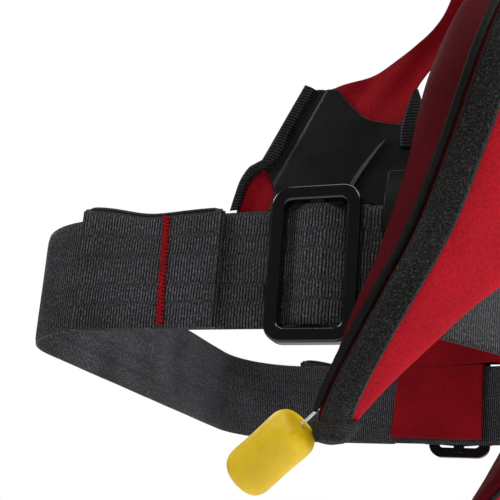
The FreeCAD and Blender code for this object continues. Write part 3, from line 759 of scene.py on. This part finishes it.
def make_tip(side, mirror):
    """The tape's end, folded over the lobe's tip."""
    angles = np.linspace(0, 360, 49)[:-1]
    low, high = LOBE[0], LOBE[1]
    rings = []
    for t, grow, sink in TIP_RINGS:
        ring = low.points(angles, grow) * (1 - t) + high.points(angles, grow) * t
        ring[:, 2] -= sink
        rings.append(ring)
    grid = np.array(rings)
    n, m = grid.shape[:2]
    ripple = 0.18 * np.sin(np.radians(angles) * 9)[None, :, None]
    grid = grid + (grid - grid.mean(axis=1, keepdims=True)) / 8.0 * ripple
    if mirror:
        grid = mirror_x(grid)
    verts = grid.reshape(-1, 3)
    faces = grid_faces(n, m, 0, False, True)
    faces.append(list(reversed(range(m))))
    faces.append([(n - 1) * m + k for k in range(m)])
    uv = np.stack([np.tile(np.arange(m) * 1.1, n), np.repeat(np.arange(n) * 1.6, m)], 1)
    add_mesh(side + "_tip_fold", verts, orient(verts, faces), "tape", uv)


def make_collar():
    ring = [SHOULDER[-1]] + COLLAR + [s.mirrored() for s in reversed(COLLAR[:-1])]
    ring.append(SHOULDER[-1].mirrored())
    add_cover("collar_outer_cloth", "collar_outer_cover", ring, (3.0, 177.0), "front_red",
              130, 46, 21.0)
    add_cover("collar_inner_cloth", "collar_inner_cover", ring, (183.0, 357.0), "collar_inner",
              130, 46, 25.0)
    add_inner_edge("collar_inner_edge_tape", ring, 180)
    turned = [Section(s.centre, -s.across, s.normal, s.half_width, s.half_thick) for s in ring]
    add_inner_edge("collar_outer_edge_tape", turned, 180)


def make_bladder():
    """The air bladder, folded narrow inside the covers, with rippled sides."""
    def part(s, first, last, shrink):
        width = 2 * s.half_width
        centre = s.centre + s.across * width * ((first + last) / 2 - 0.5)
        return Section(centre, s.across, s.normal, width * (last - first) / 2,
                       s.half_thick - shrink)
    low = [part(s, 0.68, 0.91, 6.0) for s in LOBE[6:9]]
    high = [part(s, 0.08, 0.92, 5.0) for s in LOBE[9:] + SHOULDER + COLLAR]
    right = low + high
    sections = right + [s.mirrored() for s in reversed(right[:-1])]
    angles = np.arange(0, 360, 7.5)
    grid, along = surface(sections, BLADDER_ROWS, len(angles), lambda s, share: angles, 0.0)
    centre = grid.mean(axis=1, keepdims=True)
    fold = 1 - 0.10 * np.abs(np.sin(np.radians(angles) * 2.0))[None, :, None]
    ripple = 1 + 0.03 * wobble(grid, 0.06, 31)[..., None]
    verts = (centre + (grid - centre) * fold * ripple).reshape(-1, 3)
    uv = np.stack(np.meshgrid(along, angles, indexing="ij"), -1).reshape(-1, 2)
    piece = add_mesh("bladder_folded", verts,
                     orient(verts, tube_faces(BLADDER_ROWS, len(angles))), "bladder",
                     uv)
    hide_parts("bladder")


# ---------------------------------------------------------------- webbing
def plan_path(corners, step=WEB_STEP):
    """Points, left normals and arc lengths of a filleted plan path, evenly sampled."""
    pts = [np.array(c[:2], float) for c in corners]
    lines = []
    for a, b in zip(pts, pts[1:]):
        h = b - a
        lines.append(h / np.linalg.norm(h))
    out = [pts[0]]
    for i in range(1, len(pts) - 1):
        h0, h1 = lines[i - 1], lines[i]
        turn = math.atan2(h0[0] * h1[1] - h0[1] * h1[0], h0.dot(h1))
        radius = corners[i][2]
        reach = radius * math.tan(abs(turn) / 2)
        start = pts[i] - h0 * reach
        left = np.array([-h0[1], h0[0]]) * math.copysign(1, turn)
        centre = start + left * radius
        for k in range(0, 41):
            a = turn * k / 40
            arm = -left * radius
            spun = np.array([arm[0] * math.cos(a) - arm[1] * math.sin(a),
                             arm[0] * math.sin(a) + arm[1] * math.cos(a)])
            out.append(centre + spun)
    out.append(pts[-1])
    out = np.array(out)
    run = arc_of(out)
    keep = np.concatenate([[True], np.diff(run) > 1e-6])
    out, run = out[keep], run[keep]
    s = np.arange(0, run[-1], step)
    s = np.append(s, run[-1])
    line = np.stack([np.interp(s, run, out[:, i]) for i in range(2)], 1)
    tangent = np.gradient(line, axis=0)
    tangent /= np.linalg.norm(tangent, axis=1, keepdims=True)
    left = np.stack([-tangent[:, 1], tangent[:, 0]], 1)
    return line, left, s


def rib_height(s, w, seed=0.0, bands=5, width=WEB_WIDTH, pitch=RIB_PITCH):
    """Rib relief from 0 to 1 over length s and width w, shifted band by band."""
    band = np.floor((w / width + 0.5) * bands)
    shift = 0.5 * pitch * (band % 2)
    lean = 0.012 * w * pitch + 0.03 * pitch * np.sin(w * 0.5 + seed + 0.02 * s)
    return np.abs(np.sin(math.pi * (s + shift + lean) / pitch)) ** 0.8


def webbing(name, node, path, width=WEB_WIDTH, thick=WEB_THICK, z_mid=0.0, shift=0.0, seed=0.0,
            droop=None, mirror=False, body="jacket", height=RIB_HEIGHT):
    """Ribbed webbing along a plan path, in place of a CAD node if one is named.

    Both faces carry the ribs, and the edges are rounded.
    """
    line, left, s = path
    w = np.linspace(-1, 1, WEB_COLS)
    w = np.sign(w) * (1 - (1 - np.abs(w)) ** 1.25) * width / 2
    S, W = np.meshgrid(s, w, indexing="ij")
    rib = rib_height(S, W, seed, width=width)
    lift = (thick / 2 - height * 0.9 * (1 - rib)) * (0.42 + 0.58 * crown(W / (width / 2), 10))
    sag = 0 if droop is None else droop(S, W)
    base = np.stack(np.broadcast_arrays(line[:, :1], line[:, 1:], W + z_mid + sag), -1)
    normal = np.stack(np.broadcast_arrays(left[:, :1], left[:, 1:], 0 * W), -1)
    wave = 0.12 * np.sin(S * 0.11 + seed) * np.sin(W * 0.12 + seed)
    piece, _ = add_sheet(name, base + normal * (shift + lift + wave)[..., None],
                         base + normal * (shift - lift + wave)[..., None], "webbing",
                         np.stack([W, S], -1).reshape(-1, 2), rib, body, mirror)
    if node:
        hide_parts(node)


def cut_path(path, keep):
    line, left, s = path
    mask = keep(line)
    return line[mask], left[mask], s[mask]


def make_belt():
    """The belt's back length, which is its own mirror image, and its two side lengths."""
    whole = plan_path([
        (0, WAIST_BACK_Y, 0), (-WAIST_SIDE_X, WAIST_BACK_Y, BACK_RADIUS),
        (-WAIST_SIDE_X, WAIST_CORNER_Y, CORNER_RADIUS),
        (-WAIST_FRONT_X, WAIST_FRONT_Y, CORNER_RADIUS), (-BELT_FRONT_END, WAIST_FRONT_Y, 0),
    ])
    line, left, s = cut_path(whole, lambda p: p[:, 1] >= BELT_JOIN_Y)
    line = np.concatenate([line[::-1][:-1] * np.array([-1, 1]), line])
    left = np.concatenate([left[::-1][:-1] * np.array([1, -1]), left])
    s = np.concatenate([-s[::-1][:-1], s])
    webbing("waist_belt_back_web", "waist_belt_back", (line, left, s), seed=1.0)
    flank = cut_path(whole, lambda p: p[:, 1] <= BELT_JOIN_Y)
    webbing("waist_belt_right_web", "waist_belt_right", flank, seed=2.0)
    flank = cut_path(flank, lambda p: p[:, 0] <= LEFT_BELT_END_X)
    webbing("waist_belt_left_web", "waist_belt_left", flank, seed=3.0, mirror=True)


def make_hem(side):
    """The belt's end folded back on itself: two layers, a rolled top edge and a bartack."""
    mirror = side == "left"
    corners = [(-WAIST_SIDE_X, HEM_START_Y, 0), (-WAIST_SIDE_X, WAIST_BACK_Y, BACK_RADIUS),
               (-100, WAIST_BACK_Y, 0)]
    end_y = HEM_START_Y + HEM_LENGTH - 3
    line, left, s = cut_path(plan_path(corners),
                             lambda p: (p[:, 1] <= end_y) & (p[:, 0] < -100))
    low = WEB_THICK / 2 + LAYER_GAP
    layer = HEM_THICK / 2
    length = s[-1]
    half_web = WEB_WIDTH / 2

    def dip(S, W):
        t = S / length
        top = smoothstep(W, 5.0, half_web)
        bow = -1.4 * np.exp(-((t - 0.5) / 0.28) ** 2)
        return top * (bow + 3.2 * smoothstep(t, 0.45, 0.95))

    for k, node in enumerate((None, side + "_belt_hem")):
        end = len(line) - (4 if k == 0 else 0)
        webbing("%s_hem_layer_%d" % (side, k), node, (line[:end], left[:end], s[:end]),
                width=WEB_WIDTH + 0.8, thick=layer - 0.05, z_mid=0.3,
                shift=low + layer * (k + 0.5), seed=5.0 + k, droop=dip, mirror=mirror)
    middle = line + left * (low + HEM_THICK * 0.5)
    # rolled top edge
    last = len(line) - 1
    t = np.linspace(0, 1, 90)
    idx = (t * last).astype(int)
    top = dip(s[idx], np.full(90, half_web)) + half_web + 0.3
    radius = HEM_ROLL_RADIUS * np.clip(np.minimum(t, 1 - t) * 18, 0.35, 1) ** 0.5
    # alternating rib values round the roll paint stripes of rib highlight and shade
    add_tube(side + "_hem_roll", np.column_stack([middle[idx], top]), radius, 14, "binding",
             (length, 1.5), np.tile([1, 0.4], 90 * 7), mirror)
    # folded front end and rear end, rounded
    z = np.linspace(-half_web, half_web, 60)
    for k, at in enumerate((0, last)):
        pts = np.column_stack([np.tile(middle[at], (60, 1)), z + dip(np.full(60, s[at]), z)])
        # alternating rib values round each fold paint stripes of rib highlight and shade
        add_tube("%s_hem_fold_%d" % (side, k), pts, HEM_THICK * 0.46, 12, "webbing",
                 (50, 1.5), np.tile([1, 0.3], 60 * 6), mirror)
    # red bartack: dense zigzag of thread
    face_x = WAIST_SIDE_X + low + HEM_THICK + 0.1
    count = BARTACK_STITCHES
    y = BARTACK_Y - 1.5 * np.linspace(0, 1, count)
    y = y + np.where(np.arange(count) % 2 == 0, BARTACK_HALF_WIDTH, -BARTACK_HALF_WIDTH)
    pts = np.stack([np.full(count, -face_x), y, np.linspace(23.5, -24.0, count)], 1)
    fine = []
    for a, b in zip(pts, pts[1:]):
        for k in range(6):
            u = k / 6
            bulge = np.array([-0.25 * math.sin(math.pi * u), 0, 0])
            fine.append(a * (1 - u) + b * u + bulge)
    tack = add_tube(side + "_bartack_thread", np.array(fine), THREAD_RADIUS, 8, "red_thread",
                    (200, 0.4), mirror=mirror)
    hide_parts(side + "_hem_bartack")


def make_slider_hump(side):
    """The webbing that rises over the slider's middle bar."""
    inner = WAIST_SIDE_X + WEB_THICK / 2 + 0.2
    base = inner + 0.1 + LOOP_THICK / 2
    crest = inner + LOOP_THICK + 0.4 + 2.4 + 0.2 + LOOP_THICK / 2
    reach = SLIDER_LENGTH / 2 + 2.0
    low = SLIDER_LENGTH / 2 - SLIDER_BAR - 1.0
    corners = [(-base, SLIDER_Y - reach, 0), (-base, SLIDER_Y - low, 6.0),
               (-crest, SLIDER_Y - 3.6, 4.0), (-crest, SLIDER_Y + 3.6, 4.0),
               (-base, SLIDER_Y + low, 6.0), (-base, SLIDER_Y + reach, 0)]
    webbing(side + "_slider_web", side + "_slider_webbing", plan_path(corners),
            thick=LOOP_THICK, seed=8.0, mirror=side == "left", body=side + "_slider",
            height=0.26)


def make_buckle_loops():
    """The webbing round the bar of the socket, and round the bar of the plug."""
    bar = BUCKLE_BAR_RADIUS
    y = WAIST_FRONT_Y - WEB_THICK / 2 - LOOP_THICK - bar - 2 * LAYER_GAP
    front = y - bar - LAYER_GAP - LOOP_THICK / 2
    rear = y + bar + LAYER_GAP + LOOP_THICK / 2
    radius = (rear - front) / 2 - 0.05
    for name, bar_x, sign, body in (("socket_webbing", -36.25, -1, "jacket"),
                                    ("plug_webbing", 22.25, 1, "plug")):
        near = bar_x - sign * (2.2 + LOOP_THICK / 2)
        far = bar_x + sign * 33.0
        corners = [(far, front, 0), (near, front, radius), (near, rear, radius), (far, rear, 0)]
        webbing(name + "_web", name, plan_path(corners), thick=LOOP_THICK, seed=4.0 + bar_x,
                body=body)


def make_hanging_loop():
    """A half ring of narrow webbing on the collar's outer side."""
    radius = HANGING_LOOP_RADIUS
    arc = np.linspace(0, math.pi, 160)
    section = COLLAR[-1]
    foot = section.points([110], 0.5)[0]
    up = section.normal
    out = np.cross(np.array([1.0, 0, 0]), up)
    radial = np.outer(np.cos(arc), out) + np.outer(np.sin(arc), up)
    centre = foot + np.outer(np.cos(arc) * radius, out) + np.outer(np.sin(arc) * radius, up)
    w = np.linspace(-HANGING_LOOP_WIDTH / 2, HANGING_LOOP_WIDTH / 2, 9)
    S, W = np.meshgrid(arc * radius, w, indexing="ij")
    rib = rib_height(S, W, 3.0, 2, HANGING_LOOP_WIDTH)
    lift = radial[:, None, :] * (0.6 - 0.15 * (1 - rib))[..., None]
    base = centre[:, None, :] + W[..., None] * np.array([1.0, 0, 0])
    piece, _ = add_sheet("hanging_loop_web", base + lift, base - lift, "webbing",
                         np.stack([W, S], -1).reshape(-1, 2), rib)
    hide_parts("hanging_loop")


# ---------------------------------------------------------------- side wings
# each pair is the (y, z) of a row's two ends, on a sheet's two long edges
WING_PAIRS = [
    ((22, -22), (-36, -22)), ((20, 0), (-36, 0)), ((19, 15), (-36, 15)),
    ((18.5, 20), (-37, 25.5)), ((18, 26), (-56, 26.5)), ((17, 33), (-59, 34)),
    ((14.5, 41), (-61.5, 41)), ((11.5, 45), (-63, 48)), ((6.5, 48), (-64, 56)),
    ((-2, 64.5), (-62, 68)), ((-10.3, 80.7), (-59.5, 72)), ((-22, 80.8), (-57.5, 76)),
    ((-35, 84), (-61, 83)), ((-47, 90), (-66, 90)), ((-56, 96), (-71, 98)),
    ((-65.5, 107), (-77, 108)), ((-72, 124), (-82, 126)), ((-75, 145), (-85, 146)),
    ((-81, 156), (-92, 156)), ((-86, 165), (-98, 165)),
]
# the patch reaches back toward the lobe; that rear part is partly the real black patch and partly
# painted shade between slider and lobe
PATCH_PAIRS = [
    ((3.3, 25.8), (-56, 25.8)), ((1, 34), (-58.5, 35)), ((6.5, 46.5), (-61, 46)),
    ((1, 57), (-60, 56.5)), ((-5, 68), (-36, 65)), ((-8, 73), (-30, 71)),
    ((-11.5, 79.5), (-24, 78.8)),
]
BINDING_PAIRS = [
    ((20, 26.5), (16.3, 26.5)), ((18.5, 33), (14.8, 32)), ((16, 41), (12.7, 38.5)),
    ((12.5, 46), (9.5, 42.5)), ((7.5, 48.5), (2.6, 45.9)), ((-1, 65), (-5.9, 62.4)),
    ((-9.5, 81.5), (-14.4, 78.9)),
]
STRAP_PAIRS = [
    ((-46.5, 54), (-43.0, 51.0)), ((-40.0, 45), (-36.5, 42.5)), ((-34.0, 35), (-30.6, 33.0)),
    ((-31.0, 29), (-27.8, 28.0)),
]
EDGING_PAIRS = [
    ((-52.0, 50), (-62.0, 50)), ((-51.8, 57), (-62.8, 58)), ((-53.4, 64), (-61.5, 65)),
    ((-55.2, 70), (-59.8, 70.5)), ((-56.8, 75), (-58.4, 75)),
]
FOOT_PAIRS = [
    ((-47, 15), (-55.5, 15)), ((-47, 24), (-56, 24)), ((-47, 31), (-57, 31)),
    ((-47.5, 40), (-59, 40)),
]


def wing_line():
    """Points of the wing's plan line and its normals, which look inward."""
    x = WAIST_SIDE_X - WEB_THICK / 2 - LAYER_GAP
    path, left, _ = plan_path([(-x, 60, 0), (-x, -56, CORNER_RADIUS), (-x + 11, -110, 0)], 0.5)
    return path[::-1], left[::-1]


def ruled(pairs, rows, cols, sharp=()):
    """A (y, z) grid between two outlines; sharp rows keep their corner."""
    a = np.array([p[0] for p in pairs], float)
    b = np.array([p[1] for p in pairs], float)
    gaps = np.linalg.norm(np.diff(a, axis=0), axis=1) + np.linalg.norm(np.diff(b, axis=0), axis=1)
    knots = np.concatenate([[0], np.cumsum(np.maximum(gaps, 2.0))])
    t = np.linspace(0, knots[-1], rows)
    t = np.sort(np.concatenate([t, knots]))
    t = t[np.concatenate([[True], np.diff(t) > 0.05])]
    edge_a = hermite(knots, a, t)
    edge_b = hermite(knots, b, t)
    for k in sharp:
        near = (t > knots[k - 1]) & (t < knots[k + 1])
        edge_a[near] = np.stack([np.interp(t[near], knots, a[:, i]) for i in range(2)], 1)
    u = np.linspace(0, 1, cols)[None, :, None]
    return edge_a[:, None, :] * (1 - u) + edge_b[:, None, :] * u


def lift_to_wing(flat, shift):
    """Points on the wing's plan line moved outward by shift (mm), for a (y, z) grid."""
    path, left = wing_line()
    y = flat[..., 0]
    order = np.argsort(path[:, 1])
    px = np.interp(y, path[order, 1], path[order, 0])
    nx = np.interp(y, path[order, 1], left[order, 0])
    ny = np.interp(y, path[order, 1], left[order, 1])
    return np.stack([px - nx * shift, y - ny * shift, flat[..., 1]], -1)


def rib_shade(flat):
    return np.abs(np.sin(math.pi * lengths(flat, 0) / RIB_PITCH))


def add_wing_sheet(name, pairs, shift, thick, material, rows, cols, side, relief, sharp=(),
                   rib=None):
    """A sheet on the wing's line; relief gives its height and rib its rib tone."""
    flat = ruled(pairs, rows, cols, sharp)
    height = shift + relief(flat)
    return add_sheet(name, lift_to_wing(flat, height), lift_to_wing(flat, height - thick),
                     material, rib=rib and rib(flat), mirror=side == "left")


def make_wing(side):
    """The wing, its patch and binding, and the strips and stitches sewn to them."""
    seed = 40.0 if side == "right" else 50.0

    def wing_folds(flat):
        y, z = flat[..., 0], flat[..., 1]
        free = smoothstep(z, 60.0, 82.0)
        soft = wobble(np.stack([y * 1.0, z * 0.5, 0 * y], -1), 0.09, seed)
        ridge = np.sin((y * 0.8 + z * 0.55) * 0.42 + 1.2)
        return -1.9 - 1.3 * free * (1 + ridge) * 0.9 + 0.6 * soft * free

    wing, grid = add_wing_sheet(side + "_wing_cloth", WING_PAIRS, 0.0, 1.0, "wing_red",
                                150, 44, side, wing_folds, sharp=(3, 4, 9, 10))
    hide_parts(side + "_side_wing")

    def patch_relief(flat):
        y, z = flat[..., 0], flat[..., 1]
        # a fold line runs along the slanted edge, 9 mm in from it
        edge = ((-10.5 - 6.5) * (z - 48) / 33 + 6.5) - y
        fold = np.exp(-((edge - 9.0) / 0.9) ** 2)
        return -0.35 + 0.22 * wobble(np.stack([y, z, 0 * y], -1), 0.10, seed + 3) - 0.5 * fold

    patch, grid = add_wing_sheet(side + "_wing_patch_cloth", PATCH_PAIRS, 0.0, 0.8, "patch",
                                 110, 60, side, patch_relief, sharp=(2,))
    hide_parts(side + "_wing_patch")

    def round_edge(flat):
        edge = crown(np.linspace(-1, 1, flat.shape[1])[None, :], 4)
        return 1.15 * edge + 0.16 * rib_shade(flat) * edge

    binding, _ = add_wing_sheet(side + "_wing_binding_rib", BINDING_PAIRS, 0.4, 1.2, "binding",
                                420, 13, side, round_edge, sharp=(4,),
                                rib=rib_shade)
    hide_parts(side + "_wing_binding")

    def level(flat):
        return np.full(flat.shape[:2], 0.9)

    def foot_relief(flat):
        return 3.4 - 3.0 * smoothstep(flat[..., 1], 25.0, 40.0)

    # narrow grey strap over the patch, the front edge's tape, and a fold at the foot, whose black
    # cloth right of the slider is partly painted shade
    add_wing_sheet(side + "_wing_strap", STRAP_PAIRS, 0.3, 0.8, "strap_grey", 90, 9,
                   side, level, rib=rib_shade)
    add_wing_sheet(side + "_wing_edging", EDGING_PAIRS, 0.2, 2.4, "binding",
                   110, 9, side, level, rib=rib_shade)
    add_wing_sheet(side + "_wing_foot_fold_and_shade", FOOT_PAIRS, 0.0, 0.9, "patch",
                   60, 20, side, foot_relief)
    # pale stitches along the patch's foot
    y = np.linspace(0.5, -33, 60)
    flat = np.stack([y, 35.2 - 0.0004 * (y + 15) ** 2], -1)[None]
    line = lift_to_wing(flat, 0.35)[0]
    normal = lift_to_wing(flat, 1.35)[0] - line
    if side == "left":
        line, normal = mirror_x(line), mirror_x(normal)
    stitch_row(side + "_patch_stitches", line, normal, 2.4, 0.8, 0.25, "strap_grey")


# ---------------------------------------------------------------- toggle
TOGGLE_PROFILE = [  # share of length, share of radius
    (0.00, 0.00), (0.002, 0.45), (0.015, 0.70), (0.05, 0.86), (0.10, 0.955), (0.17, 1.0),
    (0.30, 0.995), (0.50, 0.985), (0.70, 0.995), (0.83, 1.0), (0.90, 0.955), (0.95, 0.86),
    (0.985, 0.68), (0.998, 0.42), (1.00, 0.00),
]


def make_toggle():
    """The pull handle, turned about the wire's axis as a slightly eight-sided barrel."""
    handle, wire = (np.array([list(v.co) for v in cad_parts[node].data.vertices]) / MM
                    for node in ("pull_toggle", "pull_wire"))
    base = wire.mean(axis=0)
    axis = np.linalg.svd(wire - base, full_matrices=False)[2][0]
    if axis.dot(handle.mean(axis=0) - base) < 0:
        axis = -axis
    run = (handle - base) @ axis
    start = base + axis * run.min()
    length = run.max() - run.min()
    radius = np.linalg.norm((handle - base) - np.outer(run, axis), axis=1).max() - 0.02
    share = np.array(TOGGLE_PROFILE)
    profile = hermite(np.linspace(0, 1, len(share)), share, np.linspace(0, 1, 73))
    profile[:, 0] = np.maximum.accumulate(np.clip(profile[:, 0], 0, 1))
    profile[:, 1] = np.clip(profile[:, 1], 0.001, 1)
    side = np.cross(axis, [0, 0, 1.0])
    side /= np.linalg.norm(side)
    other = np.cross(axis, side)
    verts = []
    around = 48
    for u, r in profile:
        for k in range(around):
            a = 2 * math.pi * k / around
            facet = 1 - 0.02 * (1 - math.cos(4 * a)) * 0.5
            spot = (side * math.cos(a) + other * math.sin(a)) * radius * r * facet
            verts.append(start + axis * (length * u) + spot)
    verts = np.array(verts)
    faces = orient(verts, tube_faces(len(profile), around))
    piece = add_mesh("toggle_handle", verts, faces, "yellow",
                     tube_uv(len(profile), around, length, radius), body="pull")
    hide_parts("pull_toggle")


# ---------------------------------------------------------------- stage
FLOOR_DROP = 0.45  # metres below the object
FLOOR_HALF = 9.0
LIGHTS = [  # name, place from the object's middle in metres, size in metres, watts
    ("key", (0.05, -1.35, 0.65), 0.6, 19.0),
    ("fill", (-1.15, -0.55, 1.05), 0.5, 7.0),
    ("rim", (-0.75, 0.95, 0.75), 0.25, 5.0),
    ("back", (0.9, 1.1, 0.9), 0.9, 8.0),
]


def make_floor(z):
    data = bpy.data.meshes.new("floor")
    r = FLOOR_HALF
    data.from_pydata([(-r, -r, z), (r, -r, z), (r, r, z), (-r, r, z)], [], [(0, 1, 2, 3)])
    s = Shader("floor_pale", (0.86, 0.86, 0.86), 0.6)
    s.paint(s.ramp(s.noise(2.0, 2.0), (0.84, 0.84, 0.84), (0.88, 0.88, 0.88)))
    data.materials.append(s.material)
    add_object("floor", data)


def make_world():
    """White behind the object, and dim soft light on it."""
    world = bpy.data.worlds.new("studio")
    world.use_nodes = True
    tree = world.node_tree
    soft = tree.nodes["Background"]
    white = tree.nodes.new("ShaderNodeBackground")
    for light, colour, strength in ((soft, (0.95, 0.97, 1.0, 1), 0.08),
                                    (white, (1.0, 1.0, 1.0, 1), 1.0)):
        light.inputs["Color"].default_value = colour
        light.inputs["Strength"].default_value = strength
    paths = tree.nodes.new("ShaderNodeLightPath")
    both = tree.nodes.new("ShaderNodeMixShader")
    tree.links.new(paths.outputs["Is Camera Ray"], both.inputs[0])
    tree.links.new(soft.outputs[0], both.inputs[1])
    tree.links.new(white.outputs[0], both.inputs[2])
    tree.links.new(both.outputs[0], tree.nodes["World Output"].inputs["Surface"])
    bpy.context.scene.world = world
    bpy.context.scene.view_settings.view_transform = "Standard"


def make_stage():
    low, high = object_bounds()
    mid = (low + high) / 2
    make_floor(low.z - FLOOR_DROP)
    make_world()
    overhead = bpy.data.lights.new("overhead", "SUN")
    overhead.energy = 1.35
    overhead.angle = math.radians(40)
    add_object("overhead", overhead)
    place = Vector((mid.x, mid.y, 0))
    for name, spot, size, power in LIGHTS:
        lamp = bpy.data.lights.new(name, "AREA")
        lamp.size = size
        lamp.energy = power
        light = add_object(name, lamp)
        light.location = place + Vector(spot)
        light.rotation_euler = (place - light.location).to_track_quat("-Z", "Y").to_euler()


# ---------------------------------------------------------------- build
make_camera()
for side in ("right", "left"):
    make_lobe(side)
    make_wing(side)
    make_hem(side)
    make_slider_hump(side)
make_collar()
make_bladder()
make_belt()
make_buckle_loops()
make_hanging_loop()
make_toggle()

PAINTED = {
    "belt_slider": "slider", "buckle_socket": "buckle", "buckle_plug": "buckle",
    "buckle_prong": "buckle", "prong_pin": "cylinder", "inflator_body": "inflator",
    "lever_pin": "cylinder", "inflator_lever": "inflator", "piercing_pin": "cylinder",
    "gas_cylinder": "cylinder", "manifold_stem": "brass", "manifold_nut": "brass",
    "status_pin": "green", "pull_wire": "wire", "oral_tube": "rubber",
    "oral_valve_body": "valve", "oral_valve_plunger": "valve", "oral_valve_spring": "cylinder",
    "oral_cap": "rubber", "whistle": "orange", "rescue_light": "lamp",
}
for name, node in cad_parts.items():
    for key, kind in PAINTED.items():
        if key in name:
            data = node.data
            if not data.materials:
                data.materials.append(mat[kind])
            for k in range(len(node.material_slots)):
                node.material_slots[k].material = mat[kind]

make_stage()
